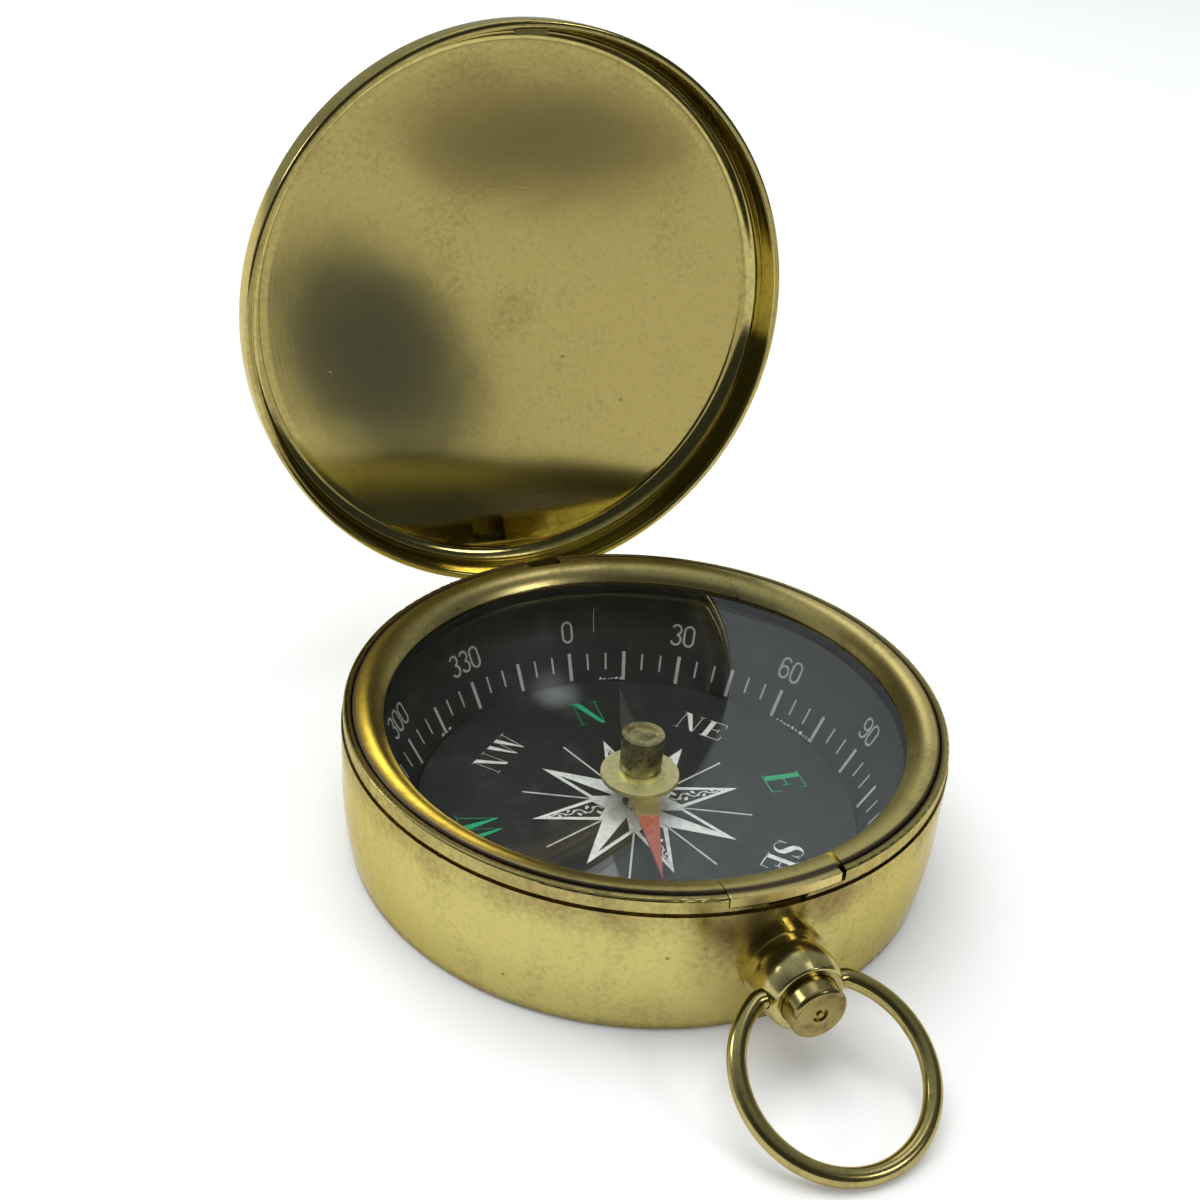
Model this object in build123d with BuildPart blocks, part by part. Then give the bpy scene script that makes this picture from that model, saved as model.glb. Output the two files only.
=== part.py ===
"""Brass pocket compass with a hinged lid, a push button in its pendant and a bow ring.

Millimetres. The case stands on z = 0 with its axis on Z. The lid's hinge is at +Y and the
pendant at -Y. The lid is drawn open, as it stands when the compass is read.
"""
import os
from math import asin, atan2, cos, degrees, radians, sin, sqrt, tan

from build123d import *

os.makedirs("parts", exist_ok=True)

# Fits
overrun = 2.0  # how far a cut runs past the wall that it goes through
running_gap = 0.05  # radial play of a pin or shaft in its hole
sliding_gap = 0.1  # room between faces that pass each other
press_gap = 0.02  # radial room of a ring that is pressed into its bore

# Case
case_radius = 25.0
case_height = 13.0  # base to the top of the lip
case_wall = 1.25
case_floor = 1.0
base_draw_in = 0.55  # how much smaller the base is than the wall, on the radius
base_draw_height = 6.2  # height over which the wall draws in
base_edge_radius = 0.5
lip_height = 1.2
lip_inset = 0.15
lip_groove_height = 0.25
lip_groove_depth = 0.4
lip_width = 0.7  # top of the lip, from its outer face to the seat of the bezel
lip_edge_radius = 0.2

# Glass, packing and bezel
glass_depth = 1.25  # top of the glass below the top of the lip
glass_thickness = 1.5
glass_edge_chamfer = 0.12
gasket_thickness = 0.3
gasket_width = 0.65
bezel_width = 2.13
bezel_wall = 1.08  # around the glass
bezel_seat_depth = 0.7  # seat in the lip for the flange of the bezel
bezel_rise = 0.12  # top of the crown above the top of the lip
bezel_edge_radius = 0.3  # rounding of the crown beside the lip
bezel_land = 0.1  # upright edge of the opening above the glass

# Dial and scale
dial_thickness = 0.4
dial_gap = 0.1
scale_wall = 0.25
scale_flange = 0.4
scale_slope = 60.0  # degrees from level
scale_bend_radius = 4.0
scale_bend_share = 0.626  # place of the bend on the way from the dial to the flange

# Needle, hub and pivot
needle_reach = 13.35
needle_half_width = 1.5
needle_thickness = 0.25
needle_heading = -106.0  # degrees, direction of the red end
needle_bore = 0.95
hub_glass_gap = 1.55  # top of the hub below the glass
hub_flange_radius = 3.35
hub_flange_thickness = 0.4
hub_radius = 1.8
hub_length = 3.9  # cap above its flange
hub_waist_depth = 0.15
hub_waist_height = 0.6
hub_waist_share = 0.13  # place of the waist along the cap
hub_rim = 0.4  # metal around the recess in the top
hub_recess_depth = 0.3
hub_roof = 0.35  # metal between the recess and the jewel
jewel_radius = 1.1
jewel_length = 1.0
jewel_cup_radius = 0.6
jewel_cup_depth = 0.6
pivot_radius = 0.4
pivot_tip_length = 0.9
pivot_tip_gap = 0.06
boss_neck_radius = 0.9
boss_flange_radius = 1.3
boss_flange_thickness = 0.3
boss_radius = 0.8
boss_length = 0.3  # above the flange

# Pendant and button
pendant_spigot_radius = 1.8
pendant_collar_radius = 3.3
pendant_collar_length = 0.7
pendant_collar_sink = 0.5  # turned length that is cut away to fit the round wall
pendant_neck_radius = 2.75
pendant_neck_length = 0.3
pendant_barrel_radius = 3.15
pendant_barrel_length = 3.3
pendant_mouth_wall = 0.55
pendant_edge_radius = 0.25
button_radius = 2.2
button_length = 1.75
button_edge_radius = 0.35
button_travel = 0.6
button_dimple_radius = 0.6
button_dimple_depth = 0.2
button_pip_radius = 0.25
stem_radius = 0.9
stem_tip_radius = 0.3  # rounding of the inner end
stem_collar_radius = 1.3
stem_collar_length = 0.6
stem_guide_length = 0.95  # narrow bore that guides the stem
stem_thread_radius = 0.55
stem_thread_length = 0.7

# Bow ring
bow_radius = 7.15  # centre line of the wire
bow_wire_radius = 0.7
bow_bend_radius = 1.0  # bend between each end and the ring
bow_seat_depth = 0.8  # how far each end sits in the barrel
bow_place_share = 0.66  # place of the ends along the barrel
bow_side_gap = 0.15
bow_floor_gap = 0.02

# Springs, screws and catch
leaf_thickness = 0.35
leaf_height = 3.2
leaf_gap = 0.2  # between the leaf and the wall
leaf_span = 45.0  # degrees from the screw to the arm
leaf_tail = 1.5
arm_thickness = 0.4
arm_depth = 0.6  # outer face of the arm beyond the bore of the case
arm_rise = 0.4  # shelf of the arm above the leaf
arm_side_gap = 0.4
catch_width = 3.6
catch_head_width = 9.0  # stretch of the lip that moves with the catch
catch_head_swing = 0.3  # sideways travel of the head as the spring bends
catch_head_skirt = 0.3
catch_head_edge_radius = 0.12
catch_head_depth = 0.5  # height of the crown that moves with the catch
catch_head_web = 0.15  # sheet that joins the head's crown to its lip
catch_head_land = 0.05  # upright inner edge of the head
tongue_thickness = 0.25
tongue_width = 3.0
lift_width = 2.4
lift_reach = 0.4  # tip of the lift spring beyond the wall while the lid is open
lift_travel = 0.4
lift_nose_height = 0.4
screw_radius = 0.5
screw_play = 0.15
screw_head_radius = 1.0
screw_head_thickness = 0.45
screw_slot_width = 0.25
screw_slot_depth = 0.2
screw_depth = 0.8  # thread in the wall

# Lid and hinge
lid_wall = 0.7
lid_height = 4.75
lid_corner_radius = 2.2
lid_dome = 1.35
lid_edge_radius = 0.25
lid_seat_gap = 0.05  # rim of the closed lid below the foot of the lip
lid_open_angle = 95.75
hinge_out = 0.5  # axis beyond the wall of the case
hinge_drop = 2.05  # axis below the rim of the closed lid
knuckle_radius = 0.9
hinge_pin_radius = 0.4
hinge_pin_proud = 0.2
hinge_pin_edge_radius = 0.15
lid_knuckle_width = 3.9
case_knuckle_width = 2.6
hinge_leaf_thickness = 0.5
hinge_leaf_height = 2.6

# Radii and heights that follow from the sizes above
bore_radius = case_radius - case_wall
base_radius = case_radius - base_draw_in
lip_radius = case_radius - lip_inset
lip_base = case_height - lip_height
groove_base = lip_base - lip_groove_height
groove_radius = case_radius - lip_groove_depth
seat_radius = lip_radius - lip_width
seat_base = case_height - bezel_seat_depth
pendant_height = case_height / 2

glass_top = case_height - glass_depth
glass_base = glass_top - glass_thickness
gasket_base = glass_base - gasket_thickness
flange_base = gasket_base - scale_wall
bezel_radius = bore_radius - press_gap
bezel_pocket_radius = bezel_radius - bezel_wall
bezel_opening_radius = bezel_radius - bezel_width
bezel_top = case_height + bezel_rise
bezel_flange_radius = seat_radius - press_gap
bezel_flange_base = seat_base + press_gap
crown_top_radius = bezel_flange_radius - bezel_edge_radius
crown_shoulder = bezel_top - bezel_edge_radius
crown_foot = glass_top + bezel_land
crown_drop = bezel_top - crown_foot
crown_radius = ((crown_top_radius - bezel_opening_radius) ** 2 + crown_drop**2) / (2 * crown_drop)
glass_radius = bezel_pocket_radius - running_gap

dial_top = case_floor + dial_thickness
slope_tangent = tan(radians(scale_slope))
slope_width = scale_wall / sin(radians(scale_slope))
scale_radius = glass_radius - scale_flange
scale_outer_radius = scale_radius + scale_wall
scale_bend = dial_top + scale_bend_share * (flange_base - dial_top)
scale_foot_radius = scale_radius - (scale_bend - case_floor) / slope_tangent
scale_outer_bend = scale_bend - (slope_width - scale_wall) * slope_tangent
card_radius = scale_foot_radius - dial_gap

hub_top = glass_base - hub_glass_gap
hub_base = hub_top - hub_length
hub_waist = hub_base + hub_waist_share * hub_length
needle_top = hub_base - hub_flange_thickness
needle_base = needle_top - needle_thickness
recess_base = hub_top - hub_recess_depth
jewel_top = recess_base - hub_roof
jewel_base = jewel_top - jewel_length
jewel_cup_top = jewel_base + jewel_cup_depth
pivot_tip = jewel_cup_top - pivot_tip_gap
boss_base = dial_top + boss_flange_thickness

lid_inner_radius = lip_radius + sliding_gap
lid_radius = lid_inner_radius + lid_wall
lid_rim = lip_base - lid_seat_gap
lid_shoulder = lid_rim + lid_height - lid_corner_radius
lid_top = lid_rim + lid_height + lid_dome
hinge_y = case_radius + hinge_out
hinge_z = lid_rim - hinge_drop
hinge_leaf_radius = case_radius + hinge_leaf_thickness
lid_leaf_radius = lid_radius + hinge_leaf_thickness
lid_knuckle_end = lid_knuckle_width / 2
case_knuckle_start = lid_knuckle_end + sliding_gap
hinge_end = case_knuckle_start + case_knuckle_width

leaf_outer = bore_radius - leaf_gap
leaf_inner = leaf_outer - leaf_thickness
leaf_base = pendant_height - leaf_height / 2
arm_outer = bore_radius + arm_depth
arm_inner = arm_outer - arm_thickness
shelf_base = leaf_base + leaf_height + arm_rise
shelf_top = shelf_base + arm_thickness
channel_radius = arm_outer + sliding_gap
channel_base = shelf_base - sliding_gap
tongue_inner_radius = arm_outer + sliding_gap
head_base = lip_base + tongue_thickness + sliding_gap
head_split = bezel_top - catch_head_depth
head_plate = head_split + running_gap
head_drop = bezel_top - head_plate - catch_head_land
head_inner = crown_top_radius - sqrt(2 * crown_radius * head_drop - head_drop**2)
flange_cut = bezel_radius - bezel_wall / 2
skirt_inner = lip_radius - catch_head_skirt
lift_top = lid_rim - lid_seat_gap - sliding_gap
lift_base = lift_top - lift_nose_height
lift_tip = case_radius + lift_reach
strap_inner = lift_tip - lift_travel + sliding_gap
notch_radius = arm_inner - button_travel - sliding_gap
catch_slot_width = catch_width + 2 * arm_side_gap
head_slot_base = head_base - running_gap
head_slot_width = catch_head_width + 2 * sliding_gap + catch_head_swing
tongue_slot_width = tongue_width + 2 * sliding_gap
lift_slot_width = lift_width + 2 * arm_side_gap
screw_seat = leaf_inner - sliding_gap
screw_end = bore_radius + screw_depth
screw_angles = (-90 - leaf_span, 90 + leaf_span)

# Distances along the pendant, out from the axis of the case
collar_end = case_radius + pendant_collar_length
barrel_start = collar_end + pendant_neck_length
barrel_end = barrel_start + pendant_barrel_length
barrel_middle = (barrel_start + barrel_end) / 2
bow_place = barrel_start + bow_place_share * pendant_barrel_length
mouth_bore = button_radius + running_gap
mouth_radius = mouth_bore + pendant_mouth_wall
guide_end = barrel_end - button_travel - 2 * sliding_gap
guide_start = guide_end - stem_guide_length
stem_tip = bore_radius - sliding_gap
stem_collar_start = guide_start - sliding_gap - stem_collar_length
button_base = barrel_end - sliding_gap
dimple_base = button_base + button_length - button_dimple_depth

# Bow, drawn in its own plane from the line through its ends
seat_floor = pendant_barrel_radius - bow_seat_depth
bow_bend_start = pendant_barrel_radius + bow_side_gap
bow_centre = bow_bend_radius + sqrt((bow_radius - bow_bend_radius) ** 2 - bow_bend_start**2)
bow_opening = degrees(atan2(bow_centre - bow_bend_radius, bow_bend_start))
bow_bend = 90 - bow_opening
bow_drop = pendant_height - bow_wire_radius - bow_floor_gap
bow_droop = asin(bow_drop / (bow_centre + bow_radius))

# Planes. On the front, back and pendant planes x is the distance from the axis of the case.
front = Plane((0, 0, 0), x_dir=(0, -1, 0), z_dir=(-1, 0, 0))
back = Plane.YZ
catch_side = front.offset(-catch_head_swing / 2)
pendant_side = Plane((0, 0, pendant_height), x_dir=(0, -1, 0), z_dir=(-1, 0, 0))
pendant_face = Plane((0, 0, pendant_height), x_dir=(1, 0, 0), z_dir=(0, -1, 0))
pendant_axis = Axis((0, 0, pendant_height), (0, -1, 0))
hinge_face = Plane((0, hinge_y, hinge_z), x_dir=(0, 1, 0), z_dir=(1, 0, 0))
bow_pivot = (0, -bow_place, pendant_height)
bow_plane = Plane(bow_pivot, x_dir=(1, 0, 0), z_dir=(0, sin(bow_droop), -cos(bow_droop)))
bow_seats = [Plane(bow_pivot, x_dir=(0, 1, 0), z_dir=(side, 0, 0)) for side in (-1, 1)]
lid_swing = Pos(0, hinge_y, hinge_z) * Rot(-lid_open_angle, 0, 0) * Pos(0, -hinge_y, -hinge_z)


def swung(plane):
    """A plane of the closed lid, turned about the hinge to where the lid stands open."""
    return Plane(lid_swing * plane.location)


def outward(angle, distance):
    """A plane that faces away from the axis of the case, at the height of the springs."""
    direction = Vector(cos(radians(angle)), sin(radians(angle)), 0)
    return Plane(direction * distance + Vector(0, 0, pendant_height), x_dir=(0, 0, 1), z_dir=direction)


def bar(plane, radius, length, mode=Mode.ADD):
    """A round bar that stands on a plane, joined to the piece in hand or cut from it."""
    with BuildSketch(plane) as section:
        Circle(radius)
    extrude(section.sketch, amount=length, mode=mode)


def slab(plane, outline, width, mode=Mode.ADD):
    """A plate of an outline with half of its width on each side of a plane."""
    with BuildSketch(plane) as section:
        with BuildLine():
            Polyline(*outline, close=True)
        make_face()
    extrude(section.sketch, amount=width / 2, both=True, mode=mode)


def turning(plane, outline, axis):
    """A turned piece: an outline spun about an axis in its plane."""
    with BuildSketch(plane) as section:
        with BuildLine():
            Polyline(*outline, close=True)
        make_face()
    revolve(section.sketch, axis=axis)


def band(plane, inner, outer, middle, width, height):
    """A short piece of a ring's wall, its middle on the y axis of a plane."""
    with BuildSketch(plane) as section:
        Circle(outer)
        Circle(inner, mode=Mode.SUBTRACT)
        with Locations((0, middle)):
            Rectangle(width, 2 * overrun, mode=Mode.INTERSECT)
    extrude(section.sketch, amount=height)


def crown():
    """Top of the bezel in section: the edge beside the lip, then the round down to the glass."""
    edge = CenterArc((crown_top_radius, crown_shoulder), bezel_edge_radius, 0, 90)
    TangentArc(edge @ 1, (bezel_opening_radius, crown_foot), tangent=(-1, 0))


def spring(plane, screw_angle, arm_angle, arm_width, nose):
    """A leaf along the wall from its screw to an arm, whose nose stands in the wall's slot."""
    turn = 1 if arm_angle > screw_angle else -1
    start = screw_angle - turn * degrees(leaf_tail / leaf_outer)
    sweep_angle = arm_angle - start
    with BuildSketch(Plane.XY.offset(leaf_base)) as section:
        with BuildLine():
            outer = CenterArc((0, 0), leaf_outer, start, sweep_angle)
            inner = CenterArc((0, 0), leaf_inner, start, sweep_angle)
            Line(outer @ 0, inner @ 0)
            Line(outer @ 1, inner @ 1)
        make_face()
    extrude(section.sketch, amount=leaf_height)
    arm = [
        (leaf_inner, leaf_base),
        (leaf_outer, leaf_base),
        (leaf_outer, shelf_base),
        (arm_outer, shelf_base),
        *nose,
        (arm_inner, shelf_top),
        (leaf_inner, shelf_top),
    ]
    slab(plane, arm, arm_width)
    bar(outward(screw_angle, 0), screw_radius + screw_play, bore_radius, mode=Mode.SUBTRACT)


lid_axis = Axis(swung(Plane.XY).origin, swung(Plane.XY).z_dir)

# Slots through the rim for the arm of the catch, its head, the tongue of the lid and the lift arm
catch_slot = [
    (bore_radius - overrun, channel_base),
    (channel_radius, channel_base),
    (channel_radius, case_height + overrun),
    (bore_radius - overrun, case_height + overrun),
]
head_slot = [
    (bore_radius - overrun, head_slot_base),
    (case_radius + overrun, head_slot_base),
    (case_radius + overrun, case_height + overrun),
    (bore_radius - overrun, case_height + overrun),
]
tongue_slot = [
    (bore_radius - overrun, groove_base),
    (case_radius + overrun, groove_base),
    (case_radius + overrun, case_height + overrun),
    (bore_radius - overrun, case_height + overrun),
]
lift_slot = [
    (bore_radius - overrun, channel_base),
    (case_radius + overrun, channel_base),
    (case_radius + overrun, case_height + overrun),
    (bore_radius - overrun, case_height + overrun),
]

# Case body: cup with a drawn-in base, and a lip with a seat for the bezel
with BuildPart() as case_body:
    with BuildSketch(Plane.XZ):
        with BuildLine():
            edge_centre = (base_radius - base_edge_radius, base_edge_radius)
            base_edge = CenterArc(edge_centre, base_edge_radius, -90, 90)
            Line((0, 0), base_edge @ 0)
            TangentArc((case_radius, base_draw_height), base_edge @ 1, tangent=(0, -1))
            Polyline(
                (case_radius, base_draw_height),
                (case_radius, groove_base),
                (groove_radius, groove_base),
                (groove_radius, lip_base),
                (lip_radius, lip_base),
                (lip_radius, case_height),
                (seat_radius, case_height),
                (seat_radius, seat_base),
                (bore_radius, seat_base),
                (bore_radius, case_floor),
                (0, case_floor),
                (0, 0),
            )
        make_face()
    revolve(axis=Axis.Z)
    fillet(case_body.edges().filter_by(GeomType.CIRCLE).group_by(Axis.Z)[-1], lip_edge_radius)
    bar(pendant_face, pendant_spigot_radius, case_radius + overrun, mode=Mode.SUBTRACT)
    slab(front, catch_slot, catch_slot_width, mode=Mode.SUBTRACT)
    slab(catch_side, head_slot, head_slot_width, mode=Mode.SUBTRACT)
    slab(front, tongue_slot, tongue_slot_width, mode=Mode.SUBTRACT)
    slab(back, lift_slot, lift_slot_width, mode=Mode.SUBTRACT)
    bar(hinge_face.offset(-hinge_end), knuckle_radius, 2 * hinge_end, mode=Mode.SUBTRACT)
    knuckle_room = knuckle_radius + sliding_gap
    bar(hinge_face.offset(-case_knuckle_start), knuckle_room, 2 * case_knuckle_start, mode=Mode.SUBTRACT)
    for angle in screw_angles:
        bar(outward(angle, screw_seat), screw_radius, screw_end - screw_seat, mode=Mode.SUBTRACT)
case_body.part.label = "case_body"
export_step(case_body.part, "parts/case_body.step")

# Bezel ring: rounded crown, a flange in the seat of the lip, and a pocket for the glass
with BuildPart() as bezel_ring:
    with BuildSketch(Plane.XZ):
        with BuildLine():
            crown()
            Polyline(
                (bezel_opening_radius, crown_foot),
                (bezel_opening_radius, glass_top),
                (bezel_pocket_radius, glass_top),
                (bezel_pocket_radius, flange_base),
                (bezel_radius, flange_base),
                (bezel_radius, bezel_flange_base),
                (bezel_flange_radius, bezel_flange_base),
                (bezel_flange_radius, crown_shoulder),
            )
        make_face()
    revolve(axis=Axis.Z)
    notch = [
        (notch_radius, flange_base - overrun),
        (bezel_radius + overrun, flange_base - overrun),
        (bezel_radius + overrun, bezel_top + overrun),
        (notch_radius, bezel_top + overrun),
    ]
    head_gap = [
        (bezel_opening_radius - overrun, head_split),
        (flange_cut, head_split),
        (flange_cut, seat_base),
        (bezel_radius + overrun, seat_base),
        (bezel_radius + overrun, bezel_top + overrun),
        (bezel_opening_radius - overrun, bezel_top + overrun),
    ]
    slab(catch_side, head_gap, head_slot_width, mode=Mode.SUBTRACT)
    slab(front, notch, catch_slot_width, mode=Mode.SUBTRACT)
    slab(back, notch, lift_slot_width, mode=Mode.SUBTRACT)
bezel_ring.part.label = "bezel_ring"
export_step(bezel_ring.part, "parts/bezel_ring.step")

# Flat glass in the pocket of the bezel
with BuildPart() as glass:
    bar(Plane.XY.offset(glass_base), glass_radius, glass_thickness)
    chamfer(glass.edges().filter_by(GeomType.CIRCLE), glass_edge_chamfer)
glass.part.label = "glass"
export_step(glass.part, "parts/glass.step")

# Packing ring between the glass and the flange of the scale
with BuildPart() as glass_gasket:
    with BuildSketch(Plane.XY.offset(gasket_base)):
        Circle(glass_radius)
        Circle(glass_radius - gasket_width, mode=Mode.SUBTRACT)
    extrude(amount=gasket_thickness)
glass_gasket.part.label = "glass_gasket"
export_step(glass_gasket.part, "parts/glass_gasket.step")

# Scale ring: sloped band from the floor, bent upright, with a flange under the packing
with BuildPart() as scale_ring:
    with BuildSketch(Plane.XZ):
        with BuildLine():
            FilletPolyline(
                (scale_foot_radius, case_floor),
                (scale_radius, scale_bend),
                (scale_radius, gasket_base),
                radius=scale_bend_radius,
            )
            Polyline(
                (scale_radius, gasket_base),
                (glass_radius, gasket_base),
                (glass_radius, flange_base),
                (scale_outer_radius, flange_base),
            )
            FilletPolyline(
                (scale_outer_radius, flange_base),
                (scale_outer_radius, scale_outer_bend),
                (scale_foot_radius + slope_width, case_floor),
                radius=scale_bend_radius + scale_wall,
            )
            Line((scale_foot_radius + slope_width, case_floor), (scale_foot_radius, case_floor))
        make_face()
    revolve(axis=Axis.Z)
scale_ring.part.label = "scale_ring"
export_step(scale_ring.part, "parts/scale_ring.step")

# Dial card on the floor of the case
with BuildPart() as dial_card:
    with BuildSketch(Plane.XY.offset(case_floor)):
        Circle(card_radius)
        Circle(boss_neck_radius, mode=Mode.SUBTRACT)
    extrude(amount=dial_thickness)
dial_card.part.label = "dial_card"
export_step(dial_card.part, "parts/dial_card.step")

# Boss that clamps the middle of the card and holds the pivot
with BuildPart() as pivot_boss:
    bar(Plane.XY.offset(case_floor), boss_neck_radius, dial_thickness)
    bar(Plane.XY.offset(dial_top), boss_flange_radius, boss_flange_thickness)
    bar(Plane.XY.offset(boss_base), boss_radius, boss_length)
    bar(Plane.XY, pivot_radius, pivot_tip, mode=Mode.SUBTRACT)
pivot_boss.part.label = "pivot_boss"
export_step(pivot_boss.part, "parts/pivot_boss.step")

# Pivot pin with a pointed top
with BuildPart() as pivot_pin:
    outline = [
        (0, case_floor),
        (pivot_radius, case_floor),
        (pivot_radius, pivot_tip - pivot_tip_length),
        (0, pivot_tip),
    ]
    turning(Plane.XZ, outline, Axis.Z)
pivot_pin.part.label = "pivot_pin"
export_step(pivot_pin.part, "parts/pivot_pin.step")

# Needle blade: long thin rhombus
with BuildPart() as needle_blade:
    heading = (cos(radians(needle_heading)), sin(radians(needle_heading)), 0)
    with BuildSketch(Plane((0, 0, needle_base), x_dir=heading, z_dir=(0, 0, 1))):
        with BuildLine():
            Polyline(
                (needle_reach, 0),
                (0, needle_half_width),
                (-needle_reach, 0),
                (0, -needle_half_width),
                close=True,
            )
        make_face()
        Circle(needle_bore, mode=Mode.SUBTRACT)
    extrude(amount=needle_thickness)
needle_blade.part.label = "needle_blade"
export_step(needle_blade.part, "parts/needle_blade.step")

# Needle hub: flange on the blade and a tall cap with a waist and a recessed top
with BuildPart() as needle_hub:
    waist_radius = hub_radius - hub_waist_depth
    outline = [
        (jewel_radius, needle_top),
        (hub_flange_radius, needle_top),
        (hub_flange_radius, hub_base),
        (hub_radius, hub_base),
        (hub_radius, hub_waist),
        (waist_radius, hub_waist),
        (waist_radius, hub_waist + hub_waist_height),
        (hub_radius, hub_waist + hub_waist_height),
        (hub_radius, hub_top),
        (hub_radius - hub_rim, hub_top),
        (hub_radius - hub_rim, recess_base),
        (0, recess_base),
        (0, jewel_top),
        (jewel_radius, jewel_top),
    ]
    turning(Plane.XZ, outline, Axis.Z)
needle_hub.part.label = "needle_hub"
export_step(needle_hub.part, "parts/needle_hub.step")

# Jewel in the hub, with the hollow that runs on the pivot
with BuildPart() as hub_jewel:
    outline = [
        (0, jewel_cup_top),
        (jewel_cup_radius, jewel_base),
        (jewel_radius, jewel_base),
        (jewel_radius, jewel_top),
        (0, jewel_top),
    ]
    turning(Plane.XZ, outline, Axis.Z)
hub_jewel.part.label = "hub_jewel"
export_step(hub_jewel.part, "parts/hub_jewel.step")

# Pendant tube: collar fitted to the wall, neck, swelling barrel, stepped bore and bow seats
with BuildPart() as pendant_tube:
    with BuildSketch(pendant_side):
        with BuildLine():
            collar_start = case_radius - pendant_collar_sink
            Polyline(
                (barrel_end, mouth_radius),
                (barrel_end, 0),
                (collar_start, 0),
                (collar_start, pendant_collar_radius),
                (collar_end, pendant_collar_radius),
                (collar_end, pendant_neck_radius),
                (barrel_start, pendant_neck_radius),
            )
            ThreePointArc(
                (barrel_start, pendant_neck_radius),
                (barrel_middle, pendant_barrel_radius),
                (barrel_end, mouth_radius),
            )
        make_face()
    revolve(axis=pendant_axis)
    rims = pendant_tube.edges().filter_by(GeomType.CIRCLE).sort_by(Axis.Y)
    fillet([rims[0], rims.sort_by(SortBy.RADIUS)[-2:].sort_by(Axis.Y)[0]], pendant_edge_radius)
    bar(Plane.XY, case_radius, case_height, mode=Mode.SUBTRACT)
    bar(pendant_face.offset(bore_radius), pendant_spigot_radius, case_wall)
    bar(pendant_face, stem_radius + running_gap, barrel_end, mode=Mode.SUBTRACT)
    bar(pendant_face, stem_collar_radius + running_gap, guide_start, mode=Mode.SUBTRACT)
    bar(pendant_face.offset(guide_end), mouth_bore, barrel_end - guide_end, mode=Mode.SUBTRACT)
    for seat in bow_seats:
        seat_radius = bow_wire_radius + running_gap
        bar(seat.offset(seat_floor), seat_radius, bow_seat_depth + overrun, mode=Mode.SUBTRACT)
pendant_tube.part.label = "pendant_tube"
export_step(pendant_tube.part, "parts/pendant_tube.step")

# Stem of the button, with the collar that keeps it in the pendant
with BuildPart() as button_stem:
    bar(pendant_face.offset(stem_tip), stem_radius, button_base - stem_tip)
    fillet(button_stem.edges().filter_by(GeomType.CIRCLE).sort_by(Axis.Y)[-1], stem_tip_radius)
    bar(pendant_face.offset(stem_collar_start), stem_collar_radius, stem_collar_length)
    bar(pendant_face.offset(button_base), stem_thread_radius, stem_thread_length)
button_stem.part.label = "button_stem"
export_step(button_stem.part, "parts/button_stem.step")

# Button cap with a rounded edge and a pip in a dimple
with BuildPart() as button_cap:
    bar(pendant_face.offset(button_base), button_radius, button_length)
    fillet(button_cap.edges().filter_by(GeomType.CIRCLE).sort_by(Axis.Y)[0], button_edge_radius)
    bar(pendant_face.offset(dimple_base), button_dimple_radius, button_dimple_depth, mode=Mode.SUBTRACT)
    bar(pendant_face.offset(dimple_base), button_pip_radius, button_dimple_depth)
    bar(pendant_face.offset(button_base), stem_thread_radius, stem_thread_length, mode=Mode.SUBTRACT)
button_cap.part.label = "button_cap"
export_step(button_cap.part, "parts/button_cap.step")

# Bow ring: open ring of wire whose turned-in ends sit in the barrel
with BuildPart() as bow_ring:
    pin_start = seat_floor + running_gap
    with BuildLine(bow_plane) as bow_path:
        Line((pin_start, 0), (bow_bend_start, 0))
        CenterArc((bow_bend_start, bow_bend_radius), bow_bend_radius, -90, bow_bend)
        CenterArc((0, bow_centre), bow_radius, -bow_opening, 180 + 2 * bow_opening)
        CenterArc((-bow_bend_start, bow_bend_radius), bow_bend_radius, 180 + bow_opening, bow_bend)
        Line((-bow_bend_start, 0), (-pin_start, 0))
    with BuildSketch(Plane(bow_path.line @ 0, z_dir=bow_path.line % 0)):
        Circle(bow_wire_radius)
    sweep(path=bow_path.line)
bow_ring.part.label = "bow_ring"
export_step(bow_ring.part, "parts/bow_ring.step")

# Lock spring: its head carries the lip and the crown on; the skirt holds the tongue of the closed lid
with BuildPart() as lock_spring:
    lock_arm = [(arm_outer, head_plate), (arm_inner, head_plate)]
    spring(front, screw_angles[0], -90, catch_width, lock_arm)
    plate_plane = Plane.XY.offset(head_plate)
    skirt_plane = Plane.XY.offset(head_base)
    lip_rise = case_height - head_plate
    skirt_rise = case_height - head_base
    crown_rise = bezel_top + overrun - head_plate
    band(plate_plane, crown_top_radius, lip_radius, -bore_radius, catch_head_width, catch_head_web)
    band(plate_plane, seat_radius, lip_radius, -bore_radius, catch_head_width, lip_rise)
    band(skirt_plane, skirt_inner, lip_radius, -bore_radius, catch_head_width, skirt_rise)
    fillet(lock_spring.edges().group_by(Axis.Z)[-1], catch_head_edge_radius)
    band(plate_plane, head_inner, bezel_flange_radius, -bore_radius, catch_head_width, crown_rise)
    with BuildSketch(Plane.XZ) as above_crown:
        with BuildLine():
            crown()
            Polyline(
                (bezel_opening_radius, crown_foot),
                (bezel_opening_radius, bezel_top + 2 * overrun),
                (bezel_flange_radius, bezel_top + 2 * overrun),
                (bezel_flange_radius, crown_shoulder),
            )
        make_face()
    revolve(above_crown.sketch, axis=Axis.Z, mode=Mode.SUBTRACT)
lock_spring.part.label = "lock_spring"
export_step(lock_spring.part, "parts/lock_spring.step")

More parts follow.
